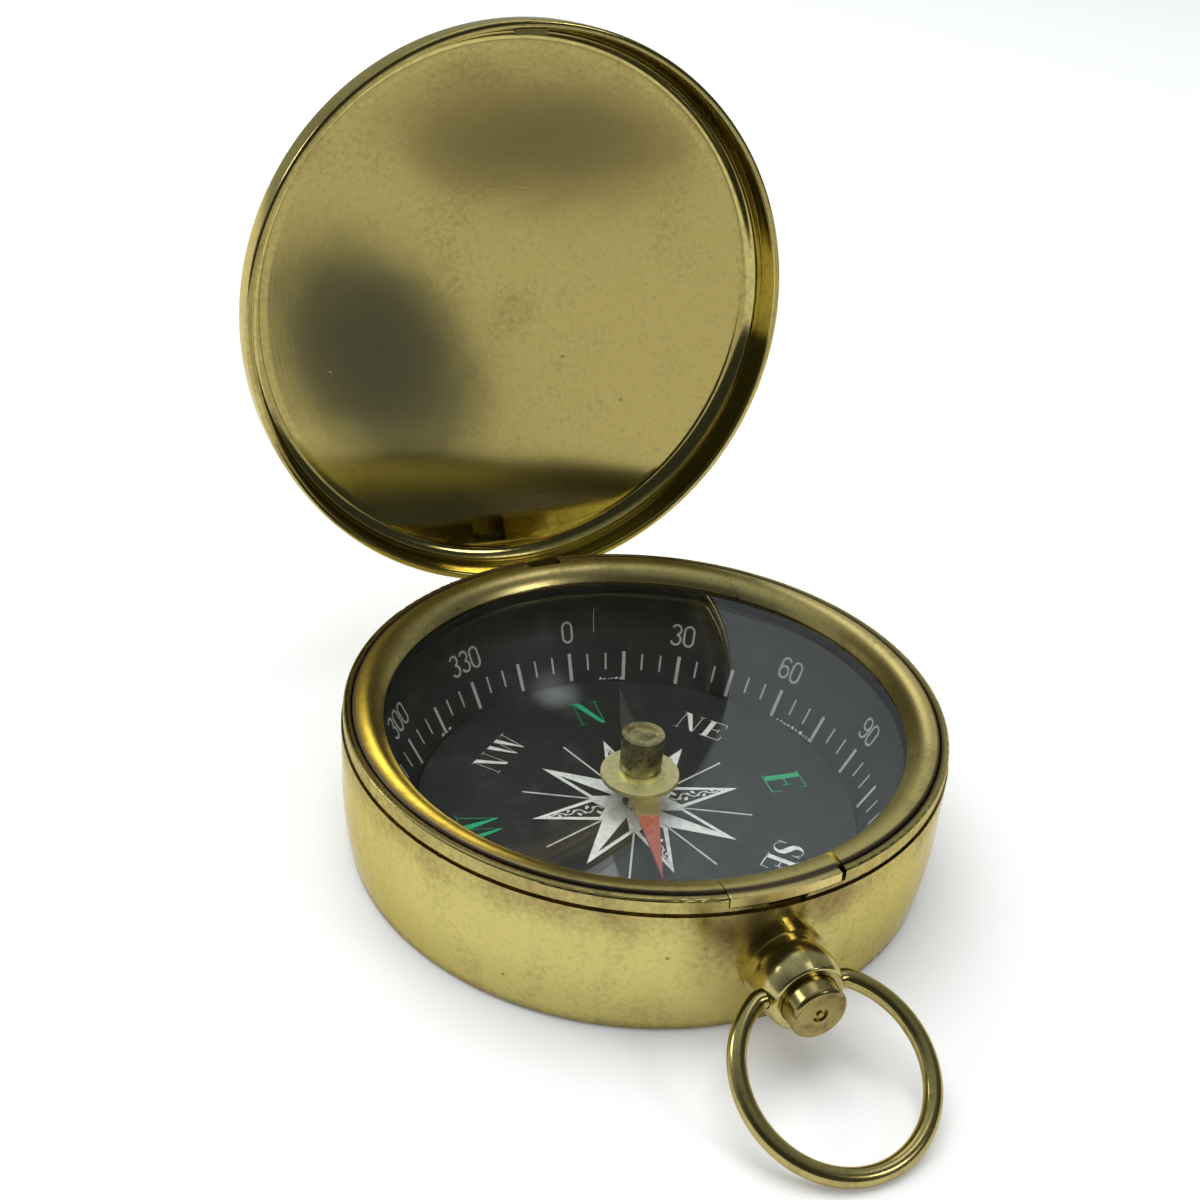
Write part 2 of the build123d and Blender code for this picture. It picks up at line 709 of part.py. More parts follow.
# Lift spring: its nose pushes on the strap of the lid
with BuildPart() as lift_spring:
    lift_nose = [
        (arm_outer, lift_base),
        (lift_tip, lift_base),
        (lift_tip, lift_top),
        (arm_inner, lift_top),
    ]
    spring(back, screw_angles[1], 90, lift_width, lift_nose)
lift_spring.part.label = "lift_spring"
export_step(lift_spring.part, "parts/lift_spring.step")

# Screws that hold the two springs to the wall
with BuildPart() as spring_screws:
    for angle in screw_angles:
        head = outward(angle, screw_seat - screw_head_thickness)
        bar(head, screw_head_radius, screw_head_thickness)
        bar(outward(angle, screw_seat), screw_radius, screw_end - screw_seat)
        with BuildSketch(head):
            Rectangle(2 * screw_head_radius, screw_slot_width)
        extrude(amount=screw_slot_depth, mode=Mode.SUBTRACT)
spring_screws.part.label = "spring_screws"
export_step(spring_screws.part, "parts/spring_screws.step")

# Case hinge: leaf on the wall below the axis and a knuckle at each end
with BuildPart() as case_hinge:
    leaf_plane = Plane.XY.offset(hinge_z - hinge_leaf_height)
    band(leaf_plane, case_radius, hinge_leaf_radius, case_radius, 2 * hinge_end, hinge_leaf_height)
    bar(hinge_face.offset(-hinge_end), knuckle_radius, 2 * hinge_end)
    bar(hinge_face.offset(-case_knuckle_start), knuckle_room, 2 * case_knuckle_start, mode=Mode.SUBTRACT)
    bar(hinge_face.offset(-hinge_end), hinge_pin_radius, 2 * hinge_end, mode=Mode.SUBTRACT)
case_hinge.part.label = "case_hinge"
export_step(case_hinge.part, "parts/case_hinge.step")

# Hinge pin, held by the knuckles of the case
with BuildPart() as hinge_pin:
    pin_end = hinge_end + hinge_pin_proud
    bar(hinge_face.offset(-pin_end), hinge_pin_radius, 2 * pin_end)
    fillet(hinge_pin.edges().filter_by(GeomType.CIRCLE), hinge_pin_edge_radius)
hinge_pin.part.label = "hinge_pin"
export_step(hinge_pin.part, "parts/hinge_pin.step")

# Lid shell: shallow dish with a rounded corner, a slight dome and a rolled rim
with BuildPart() as lid_shell:
    with BuildSketch(swung(Plane.XZ)):
        with BuildLine():
            corner_centre = (lid_radius - lid_corner_radius, lid_shoulder)
            outer_corner = CenterArc(corner_centre, lid_corner_radius, 0, 90)
            inner_corner = CenterArc(corner_centre, lid_corner_radius - lid_wall, 0, 90)
            TangentArc((0, lid_top), outer_corner @ 1, tangent=(1, 0))
            TangentArc((0, lid_top - lid_wall), inner_corner @ 1, tangent=(1, 0))
            Line((0, lid_top), (0, lid_top - lid_wall))
            Polyline(outer_corner @ 0, (lid_radius, lid_rim), (lid_inner_radius, lid_rim), inner_corner @ 0)
        make_face()
    revolve(axis=lid_axis)
    fillet(lid_shell.edges().group_by(lid_axis)[0], lid_edge_radius)
lid_shell.part.label = "lid_shell"
export_step(lid_shell.part, "parts/lid_shell.step")

# Lid hinge: knuckle, strap up the outside of the case and a leaf on the lid
with BuildPart() as lid_hinge:
    strap = [
        (strap_inner, hinge_z),
        (lid_leaf_radius, hinge_z),
        (lid_leaf_radius, lid_rim + hinge_leaf_height),
        (strap_inner, lid_rim + hinge_leaf_height),
    ]
    slab(swung(back), strap, lid_knuckle_width)
    bar(swung(Plane.XY.offset(lid_rim)), lid_radius, lid_height, mode=Mode.SUBTRACT)
    bar(hinge_face.offset(-lid_knuckle_end), knuckle_radius, lid_knuckle_width)
    bar(hinge_face.offset(-hinge_end), hinge_pin_radius + running_gap, 2 * hinge_end, mode=Mode.SUBTRACT)
lid_hinge.part.label = "lid_hinge"
export_step(lid_hinge.part, "parts/lid_hinge.step")

# Catch tongue on the inside of the lid's wall
with BuildPart() as lid_catch:
    tongue_plane = swung(Plane.XY.offset(lip_base))
    tongue_middle = -lid_inner_radius
    band(tongue_plane, tongue_inner_radius, lid_inner_radius, tongue_middle, tongue_width, tongue_thickness)
lid_catch.part.label = "lid_catch"
export_step(lid_catch.part, "parts/lid_catch.step")
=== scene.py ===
"""Looks of a brass pocket compass: finishes, printed dial, studio and camera.

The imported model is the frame, in metres: the case stands on z = 0 with its axis on Z, the
lid's hinge is at +Y and the pendant at -Y. Sizes below are millimetres, as on the drawing,
and become metres where a mesh or a lamp is made.
"""

import logging
import math
import random
from collections.abc import Callable, Sequence
from dataclasses import dataclass, field
from enum import Enum

import bpy
from mathutils import Matrix, Vector


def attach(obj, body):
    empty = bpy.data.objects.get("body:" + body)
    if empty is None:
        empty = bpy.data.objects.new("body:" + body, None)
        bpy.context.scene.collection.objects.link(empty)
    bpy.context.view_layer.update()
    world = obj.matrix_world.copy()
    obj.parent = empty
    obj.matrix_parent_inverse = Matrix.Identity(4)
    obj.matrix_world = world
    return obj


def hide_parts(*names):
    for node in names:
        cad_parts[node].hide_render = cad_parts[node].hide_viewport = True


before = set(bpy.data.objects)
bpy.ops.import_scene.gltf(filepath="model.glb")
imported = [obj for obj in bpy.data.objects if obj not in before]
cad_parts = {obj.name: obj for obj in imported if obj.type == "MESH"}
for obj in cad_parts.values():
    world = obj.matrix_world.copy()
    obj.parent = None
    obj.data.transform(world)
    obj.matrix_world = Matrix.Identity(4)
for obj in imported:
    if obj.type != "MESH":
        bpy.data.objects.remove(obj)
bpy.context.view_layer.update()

log = logging.getLogger("compass")

MM = 0.001
Colour = tuple[float, float, float]
Point = tuple[float, float]
Place3 = tuple[float, float, float]
Socket = bpy.types.NodeSocket
Lay = Callable[[float, float], Vector]

LID_HINGE = (0.0, 25.5, 9.7)
LID_OPEN = 95.75  # degrees from the closed lid to the photographed one


class Tree:
    """Short calls for building a node tree, where a socket takes a constant or an output."""

    def __init__(self, tree: bpy.types.NodeTree) -> None:
        """Keep the tree that the calls add to."""
        self.tree = tree

    def add(self, kind: str, sockets: dict | None = None, **settings: object) -> bpy.types.Node:
        """Add a node.

        Args:
            kind: Blender's name for the node.
            sockets: Constants or outputs by the name or number of the input.
            settings: Properties of the node.

        Returns:
            The new node.
        """
        node = self.tree.nodes.new(kind)
        for name, value in settings.items():
            setattr(node, name, value)
        for key, value in (sockets or {}).items():
            if isinstance(value, Socket):
                self.tree.links.new(value, node.inputs[key])
            else:
                node.inputs[key].default_value = value
        return node

    def math(self, operation: str, first: object, second: object = 0.0, clamp: bool = False) -> Socket:
        """One arithmetic step on numbers or outputs."""
        node = self.add("ShaderNodeMath", {0: first, 1: second}, operation=operation, use_clamp=clamp)
        return node.outputs[0]

    def join(self, x: object, y: object, z: object) -> Socket:
        """A vector from three numbers or outputs."""
        return self.add("ShaderNodeCombineXYZ", {0: x, 1: y, 2: z}).outputs[0]

    def split(self, vector: Socket) -> tuple[Socket, Socket, Socket]:
        """The three parts of a vector."""
        parts = self.add("ShaderNodeSeparateXYZ", {0: vector}).outputs
        return parts[0], parts[1], parts[2]

    def span(self, value: Socket, low: float, high: float, to_low: float, to_high: float) -> Socket:
        """A smooth step from one value to another as the input goes from low to high."""
        sockets = {0: value, 1: low, 2: high, 3: to_low, 4: to_high}
        return self.add("ShaderNodeMapRange", sockets, interpolation_type="SMOOTHSTEP").outputs[0]


@dataclass(frozen=True)
class Frame:
    """Where a piece's own axes stand, so that a pattern follows the piece."""

    origin: Place3 = (0.0, 0.0, 0.0)
    turn: Place3 = (0.0, 0.0, 0.0)

    @classmethod
    def about_x(cls, centre: Place3, degrees: float) -> "Frame":
        """The axes of the case after a turn about a line along X, through a point."""
        turn = Matrix.Rotation(math.radians(degrees), 3, "X")
        origin = Vector(centre) - turn @ Vector(centre)
        return cls(tuple(origin), (math.radians(degrees), 0.0, 0.0))


class Shader(Tree):
    """A material with a Principled surface, and the patterns that the finishes share."""

    def __init__(self, name: str) -> None:
        """Start a material with a surface and an output."""
        self.material = bpy.data.materials.new(name)
        self.material.use_nodes = True
        super().__init__(self.material.node_tree)
        self.tree.nodes.clear()
        self.surface = self.add("ShaderNodeBsdfPrincipled")
        self.output = self.add("ShaderNodeOutputMaterial", {"Surface": self.surface.outputs[0]})

    def dress(self, **values: object) -> None:
        """Set inputs of the surface, underscores standing for the spaces in their names."""
        for name, value in values.items():
            socket = self.surface.inputs[name.replace("_", " ")]
            if isinstance(value, Socket):
                self.tree.links.new(value, socket)
            else:
                socket.default_value = value

    def millimetres(self, place: Frame) -> Socket:
        """Object coordinates in millimetres along a frame's axes."""
        spot = self.add("ShaderNodeTexCoord").outputs["Object"]
        origin = tuple(value * MM for value in place.origin)
        sockets = {"Vector": spot, "Location": origin, "Rotation": place.turn, "Scale": (MM, MM, MM)}
        return self.add("ShaderNodeMapping", sockets, vector_type="TEXTURE").outputs[0]

    def noise(self, vector: Socket, scale: float, detail: float = 4.0, rough: float = 0.55) -> Socket:
        """Soft noise between 0 and 1."""
        sockets = {"Vector": vector, "Scale": scale, "Detail": detail, "Roughness": rough}
        return self.add("ShaderNodeTexNoise", sockets).outputs[0]

    def blend(self, share: Socket, first: object, second: object) -> Socket:
        """A colour between two colours, each a constant or an output."""
        first = first if isinstance(first, Socket) else (*first, 1.0)
        second = second if isinstance(second, Socket) else (*second, 1.0)
        return self.add("ShaderNodeMix", {0: share, 6: first, 7: second}, data_type="RGBA").outputs[2]

    def relief(self, height: Socket, depth: float, normal: Socket | None = None) -> Socket:
        """A surface normal that follows a height, with its depth in millimetres."""
        sockets = {"Height": height, "Distance": depth * MM, "Strength": 1.0}
        if normal is not None:
            sockets["Normal"] = normal
        return self.add("ShaderNodeBump", sockets).outputs[0]

    def distance(self, vector: Socket, centre: Place3) -> Socket:
        """Distance from a point."""
        return self.add("ShaderNodeVectorMath", {0: vector, 1: centre}, operation="DISTANCE").outputs["Value"]

    def radius(self, vector: Socket) -> Socket:
        """Distance from the frame's Z axis."""
        x, y, _ = self.split(vector)
        return self.math("SQRT", self.math("ADD", self.math("POWER", x, 2.0), self.math("POWER", y, 2.0)))


@dataclass(frozen=True)
class Finish:
    """A named surface, which each kind of finish paints in its own way."""

    name: str

    def axes(self) -> Frame:
        """The axes that the pattern follows."""
        return Frame()

    def paint(self, shader: Shader, place: Socket) -> None:
        """Set the surface, from the place along those axes in millimetres."""
        raise NotImplementedError

    def material(self) -> bpy.types.Material:
        """Build the material."""
        shader = Shader(self.name)
        self.paint(shader, shader.millimetres(self.axes()))
        return shader.material


class Along(Enum):
    """What a band of darkening is measured along."""

    HEIGHT = "height"
    RADIUS = "radius"


@dataclass(frozen=True)
class Stain:
    """A round patch in millimetres of its piece's frame: tarnish on the case, a painted dark reflection on
    the lid, a paler bloom on the card.
    """

    centre: Place3
    radius: float
    strength: float


@dataclass(frozen=True)
class Band:
    """Darkening that grows along a height or radius, from one place to another: tarnish, and at the foot of
    the case painted shade.
    """

    along: Along
    start: float
    end: float
    strength: float


@dataclass(frozen=True)
class Groove:
    """Dark dirt in a turned groove, at a radius of its piece's frame."""

    radius: float
    width: float
    strength: float


@dataclass(frozen=True)
class Brass(Finish):
    """Polished brass with clouds of tarnish, turning lines, pits and a slight waviness; some bands paint
    shade and some round patches paint dark reflections.
    """

    place: Frame = Frame()
    polished: Colour = (0.56, 0.488, 0.168)
    tarnish: Colour = (0.26, 0.19, 0.075)
    edge: Colour = (0.88, 0.80, 0.58)
    dirt: Colour = (0.075, 0.046, 0.044)
    roughness: float = 0.14
    worn_roughness: float = 0.36
    clouding: float = 0.30
    cloud_size: float = 9.0
    streaking: float = 0.0
    streak_count: float = 7.0
    streak_stretch: float = 0.12
    core_share: float = 0.3
    pit_scale: float = 0.2
    pit_shade: float = 0.45
    pit_depth: float = 0.004
    wave_depth: float = 0.03
    line_depth: float = 0.0006
    stains: tuple[Stain, ...] = ()
    bands: tuple[Band, ...] = ()
    grooves: tuple[Groove, ...] = ()

    def axes(self) -> Frame:
        """The frame of the piece."""
        return self.place

    def tarnished(self, shader: Shader, place: Socket, clouds: Socket) -> Socket:
        """How far each spot is darkened, from 0 to 1, with clouds that make the patches ragged: tarnish,
        painted shade at the foot of the case and painted dark reflections on the lid.
        """
        worn = shader.span(clouds, 0.46, 0.74, 0.0, self.clouding)
        x, y, height = shader.split(place)
        if self.streaking:
            around = shader.math("MULTIPLY", shader.math("ARCTAN2", y, x), self.streak_count)
            drawn = shader.join(around, shader.math("MULTIPLY", height, self.streak_stretch), 0.0)
            streaks = shader.span(shader.noise(drawn, 1.0), 0.45, 0.75, 0.0, self.streaking)
            worn = shader.math("ADD", worn, streaks)
        # Round patches: tarnish on the case, painted dark reflections on the lid.
        for patch in self.stains:
            ragged = shader.math("MULTIPLY", shader.math("SUBTRACT", clouds, 0.5), patch.radius)
            reach = shader.math("ADD", shader.distance(place, patch.centre), ragged)
            core = patch.radius * self.core_share
            worn = shader.math("ADD", worn, shader.span(reach, patch.radius, core, 0.0, patch.strength))
        # Bands: tarnish, but the case's lowest band paints shade at the foot of the wall.
        for band in self.bands:
            reach = shader.radius(place) if band.along is Along.RADIUS else height
            patchy = shader.span(clouds, 0.25, 0.7, 0.35, 1.0)
            grown = shader.span(reach, band.start, band.end, 0.0, band.strength)
            worn = shader.math("ADD", worn, shader.math("MULTIPLY", grown, patchy))
        speckle = shader.span(shader.noise(place, 2.2, 3.0), 0.3, 0.8, -0.16, 0.22)
        return shader.math("ADD", worn, speckle, clamp=True)

    def paint(self, shader: Shader, place: Socket) -> None:
        """Take colour, roughness and relief from one pattern of tarnish and painted shade."""
        worn = self.tarnished(shader, place, shader.noise(place, 1 / self.cloud_size, 6.0, 0.6))
        dots = shader.add("ShaderNodeTexVoronoi", {"Vector": place, "Scale": self.pit_scale})
        pits = shader.span(dots.outputs["Distance"], 0.02, 0.045, 0.6, 0.0)
        colour = shader.blend(worn, self.polished, self.tarnish)
        colour = shader.blend(pits, colour, tuple(value * self.pit_shade for value in self.tarnish))
        reach = shader.radius(place)
        for groove in self.grooves:
            off = shader.math("ABSOLUTE", shader.math("SUBTRACT", reach, groove.radius))
            dirty = shader.span(off, groove.width, groove.width * self.core_share, 0.0, groove.strength)
            colour = shader.blend(dirty, colour, self.dirt)
            worn = shader.math("ADD", worn, dirty, clamp=True)
        x, y, height = shader.split(place)
        turned = shader.join(reach, shader.math("ARCTAN2", y, x), height)
        normal = shader.relief(shader.noise(place, 0.09, 2.0, 0.45), self.wave_depth)
        normal = shader.relief(shader.noise(turned, 5.0, 2.0, 0.7), self.line_depth, normal)
        normal = shader.relief(pits, -self.pit_depth, normal)
        shader.dress(
            Base_Color=colour,
            Metallic=1.0,
            Specular_Tint=(*self.edge, 1.0),
            Roughness=shader.span(worn, 0.0, 1.0, self.roughness, self.worn_roughness),
            Normal=normal,
        )


@dataclass(frozen=True)
class Steel(Finish):
    """Bright or blued steel with fine drawing lines."""

    colour: Colour
    heat: Colour
    roughness: float = 0.28

    def paint(self, shader: Shader, place: Socket) -> None:
        """Mottle the steel between its two colours."""
        mottled = shader.span(shader.noise(place, 0.5), 0.35, 0.7, 0.0, 1.0)
        lines = shader.noise(place, 7.0, 2.0)
        shader.dress(
            Base_Color=shader.blend(mottled, self.colour, self.heat),
            Metallic=1.0,
            Roughness=shader.span(lines, 0.2, 0.8, self.roughness - 0.08, self.roughness + 0.1),
            Normal=shader.relief(lines, 0.0008),
        )


@dataclass(frozen=True)
class ClearGlass(Finish):
    """Plain glass that lets the lamps through to the dial."""

    tint: Colour = (0.985, 0.995, 0.99)
    bend: float = 1.5

    def paint(self, shader: Shader, place: Socket) -> None:
        """Make the glass clear to the rays that cast shadows."""
        shader.dress(Base_Color=(*self.tint, 1.0), Roughness=0.0, IOR=self.bend, Transmission_Weight=1.0)
        clear = shader.add("ShaderNodeBsdfTransparent", {0: (*self.tint, 1.0)})
        shadow = shader.add("ShaderNodeLightPath").outputs["Is Shadow Ray"]
        sockets = {0: shadow, 1: shader.surface.outputs[0], 2: clear.outputs[0]}
        mixed = shader.add("ShaderNodeMixShader", sockets)
        shader.tree.links.new(mixed.outputs[0], shader.output.inputs["Surface"])


@dataclass(frozen=True)
class BlackCard(Finish):
    """Black printed card with a little dust and a satin coat."""

    black: Colour = (0.010, 0.011, 0.011)
    dust: Colour = (0.055, 0.056, 0.052)
    haze: Colour = (0.30, 0.32, 0.31)
    ragged: float = 1.6
    bloom: Stain | None = None

    def paint(self, shader: Shader, place: Socket) -> None:
        """Lay dust in patches, and one paler bloom if there is one."""
        patches = shader.noise(place, 0.35, 6.0, 0.65)
        colour = shader.blend(shader.span(patches, 0.45, 0.85, 0.0, 0.55), self.black, self.dust)
        if self.bloom is not None:
            frayed = shader.math("MULTIPLY", patches, self.ragged)
            near = shader.math("ADD", shader.distance(place, self.bloom.centre), frayed)
            middle = self.ragged / 2
            bloomed = shader.span(near, self.bloom.radius + middle, middle, 0.0, self.bloom.strength)
            colour = shader.blend(bloomed, colour, self.haze)
        grain = shader.noise(place, 6.0, 2.0)
        shader.dress(
            Base_Color=colour,
            Roughness=shader.span(grain, 0.2, 0.8, 0.42, 0.52),
            Normal=shader.relief(grain, 0.0005),
        )


class Ink(Enum):
    """Colours of the print, each with its pigment and the share worn away."""

    WHITE = ((0.60, 0.61, 0.58), 0.45)
    GREY = ((0.42, 0.43, 0.41), 0.45)
    GREEN = ((0.012, 0.30, 0.13), 0.25)
    BLACK = ((0.012, 0.013, 0.013), 0.0)

    def material(self) -> bpy.types.Material:
        """Build a matte ink that thins in small patches, so that the card shows through."""
        pigment, wear = self.value
        shader = Shader(f"{self.name.lower()}_ink")
        place = shader.millimetres(Frame())
        thin = shader.span(shader.noise(place, 1.6, 4.0, 0.6), 0.4, 0.75, 0.0, wear)
        shader.dress(
            Base_Color=shader.blend(thin, pigment, tuple(value * 0.35 + 0.01 for value in pigment)),
            Roughness=shader.span(shader.noise(place, 5.0), 0.2, 0.8, 0.45, 0.65),
        )
        return shader.material


@dataclass(frozen=True)
class NeedlePaint(Finish):
    """Steel needle with a red end, a bare brassy middle and a dark end."""

    heading: float = -106.0
    bare_end: float = 5.9
    chip_size: float = 0.5
    red: Colour = (0.24, 0.056, 0.039)
    rubbed: Colour = (0.42, 0.20, 0.15)
    bare: Colour = (0.52, 0.44, 0.22)
    dark: Colour = (0.055, 0.055, 0.05)

    def axes(self) -> Frame:
        """X along the needle, to its red end."""
        return Frame(turn=(0.0, 0.0, math.radians(self.heading)))

    def paint(self, shader: Shader, place: Socket) -> None:
        """Colour the needle by the distance along it."""
        along = shader.split(place)[0]
        chips = shader.noise(place, 1.8, 5.0, 0.65)
        chipped = shader.math("MULTIPLY", shader.math("ADD", chips, 1.0), self.chip_size)
        tip = shader.math("ADD", along, chipped)
        painted = shader.span(tip, self.bare_end + 0.1, self.bare_end + 0.35, 0.0, 1.0)
        tail = shader.span(tip, -0.5, -2.0, 0.0, 1.0)
        worn_red = shader.blend(shader.span(chips, 0.52, 0.75, 0.0, 0.5), self.red, self.rubbed)
        colour = shader.blend(tail, shader.blend(painted, self.bare, worn_red), self.dark)
        coated = shader.math("MAXIMUM", painted, shader.math("MULTIPLY", tail, 0.6))
        shader.dress(
            Base_Color=colour,
            Metallic=shader.span(coated, 0.0, 1.0, 1.0, 0.0),
            Roughness=shader.span(chips, 0.3, 0.7, 0.28, 0.42),
            Normal=shader.relief(chips, 0.004),
        )


@dataclass(frozen=True)
class Packing(Finish):
    """Soft black packing, slightly dusty."""

    black: Colour = (0.012, 0.012, 0.012)
    dust: Colour = (0.04, 0.038, 0.035)

    def paint(self, shader: Shader, place: Socket) -> None:
        """Dust the packing in patches."""
        patches = shader.noise(place, 1.2, 5.0)
        colour = shader.blend(shader.span(patches, 0.4, 0.8, 0.0, 1.0), self.black, self.dust)
        shader.dress(Base_Color=colour, Roughness=0.8, Normal=shader.relief(patches, 0.01))


@dataclass(frozen=True)
class Jewel(Finish):
    """Polished red stone of the needle's bearing."""

    clear: Colour = (0.55, 0.05, 0.08)
    deep: Colour = (0.35, 0.02, 0.05)

    def paint(self, shader: Shader, place: Socket) -> None:
        """Put a faint cloud in the stone."""
        cloud = shader.noise(place, 1.5)
        colour = shader.blend(cloud, self.clear, self.deep)
        shader.dress(Base_Color=colour, Roughness=0.08, Coat_Weight=0.5)


@dataclass
class PrintSheet:
    """Flat shapes of one ink in label coordinates: x to the right and y up, in millimetres."""

    points: list[Point] = field(default_factory=list)
    faces: list[tuple[int, ...]] = field(default_factory=list)

    def polygon(self, outline: Sequence[Point]) -> None:
        """Add a filled outline, given anticlockwise."""
        start = len(self.points)
        self.points.extend(outline)
        self.faces.append(tuple(range(start, start + len(outline))))

    def ribbon(self, path: Sequence[Point], widths: float | Sequence[float], closed: bool = False) -> None:
        """Add a line of some width along a path.

        Args:
            path: Points that the middle of the line goes through.
            widths: One width for the line, or one for each point.
            closed: Whether the line comes back to its start.
        """
        count = len(path)
        spread = [widths] * count if isinstance(widths, (int, float)) else list(widths)
        start = len(self.points)
        for number, (x, y) in enumerate(path):
            before = path[number - 1] if number or closed else path[0]
            after = path[(number + 1) % count] if number + 1 < count or closed else path[-1]
            first = Vector((x - before[0], y - before[1])).normalized()
            second = Vector((after[0] - x, after[1] - y)).normalized()
            along = (first + second).normalized() if (first + second).length > 1e-6 else second
            side = Vector((-along.y, along.x))
            sharpness = abs(side.dot(Vector((-second.y, second.x)))) if second.length else 1.0
            reach = spread[number] / 2 / max(sharpness, 0.5)
            self.points.append((x + side.x * reach, y + side.y * reach))
            self.points.append((x - side.x * reach, y - side.y * reach))
        for number in range(count if closed else count - 1):
            here = start + 2 * number
            there = start + 2 * ((number + 1) % count)
            self.faces.append((here, here + 1, there + 1, there))

    def leaf(self, centre: Point, length: float, width: float, angle: float) -> None:
        """Add a pointed oval that lies at an angle."""
        cosine, sine = math.cos(angle), math.sin(angle)
        corners = 10
        outline = []
        for step in range(corners):
            turn = step * math.tau / corners
            u = length / 2 * math.cos(turn)
            v = width / 2 * math.sin(turn) * (1 - 0.35 * math.cos(turn))
            outline.append((centre[0] + u * cosine - v * sine, centre[1] + u * sine + v * cosine))
        self.polygon(outline)

    def take(self, other: "PrintSheet", move: Callable[[float, float], Point]) -> None:
        """Add another sheet's shapes, with each of its points moved."""
        start = len(self.points)
        self.points.extend(move(x, y) for x, y in other.points)
        self.faces.extend(tuple(start + corner for corner in face) for face in other.faces)

    def mesh(self, name: str, lay: Lay, up: Callable[[Vector], Vector]) -> bpy.types.Mesh:
        """Lay the shapes on a surface.

        Args:
            name: Name of the mesh.
            lay: Gives the place of a label point, in metres.
            up: Gives the side that a face at some place is seen from.

        Returns:
            The mesh, its faces turned to that side.
        """
        places = [lay(x, y) for x, y in self.points]
        faces = []
        for face in self.faces:
            a, b, c = (places[corner] for corner in face[:3])
            out = (b - a).cross(c - a)
            for corner in face[3:]:
                out += (c - a).cross(places[corner] - a)
                c = places[corner]
            faces.append(face if out.dot(up(a)) > 0 else face[::-1])
        mesh = bpy.data.meshes.new(name)
        mesh.from_pydata([tuple(place) for place in places], [], faces)
        mesh.update()
        return mesh


def arc(centre: Point, across: float, high: float, start: float, end: float, steps: int = 12) -> list[Point]:
    """Points on part of an oval.

    Args:
        centre: Middle of the oval.
        across: Half of its width.
        high: Half of its height.
        start: First angle in degrees, anticlockwise from the right.
        end: Last angle.
        steps: Number of stretches.

    Returns:
        The points in order.
    """
    angles = [math.radians(start + (end - start) * step / steps) for step in range(steps + 1)]
    return [(centre[0] + across * math.cos(turn), centre[1] + high * math.sin(turn)) for turn in angles]


@dataclass(frozen=True)
class Numerals:
    """Narrow upright figures of one line width, one unit high."""

    half: float = 0.24
    line: float = 0.105
    gap: float = 0.17

    def strokes(self, figure: str) -> list[list[Point]]:
        """The lines of one figure, its foot at y = 0 and its middle at x = 0."""
        w = self.half
        shapes = {
            "0": [arc((0, 0.72), w, 0.28, 0, 180) + arc((0, 0.28), w, 0.28, 180, 360) + [(w, 0.72)]],
            "1": [[(-w * 0.6, 0.78), (0.04, 1.0), (0.04, 0.0)]],
            "2": [arc((0, 0.74), w, 0.26, 170, -25) + [(-w, 0.0), (w * 1.05, 0.0)]],
            "3": [arc((0, 0.755), w * 0.92, 0.245, 160, -80), arc((0, 0.26), w, 0.26, 85, -160)],
            "4": [[(w * 0.5, 0.0), (w * 0.5, 1.0), (-w, 0.27), (w * 1.2, 0.27)]],
            "5": [[(w * 0.9, 1.0), (-w * 0.8, 1.0), (-w * 0.9, 0.56)] + arc((0, 0.3), w, 0.3, 120, -155)],
            "6": [arc((0, 0.70), w, 0.30, 30, 180) + [(-w, 0.28)], arc((0, 0.29), w, 0.29, 0, 360, 18)],
            "7": [[(-w, 1.0), (w, 1.0), (-w * 0.3, 0.0)]],
            "8": [arc((0, 0.76), w * 0.88, 0.24, 0, 360, 16), arc((0, 0.27), w, 0.27, 0, 360, 16)],
            "9": [arc((0, 0.30), w, 0.30, 210, 360) + [(w, 0.72)], arc((0, 0.71), w, 0.29, 0, 360, 18)],
        }
        return shapes[figure]

    def write(self, text: str, height: float) -> PrintSheet:
        """Set a number of some height in millimetres, with its middle at the origin."""
        sheet = PrintSheet()
        pitch = (2 * self.half + self.gap) * height
        for place, figure in enumerate(text):
            left = (place - (len(text) - 1) / 2) * pitch
            for stroke in self.strokes(figure):
                sheet.ribbon([(left + x * height, (y - 0.5) * height) for x, y in stroke], self.line * height)
        return sheet


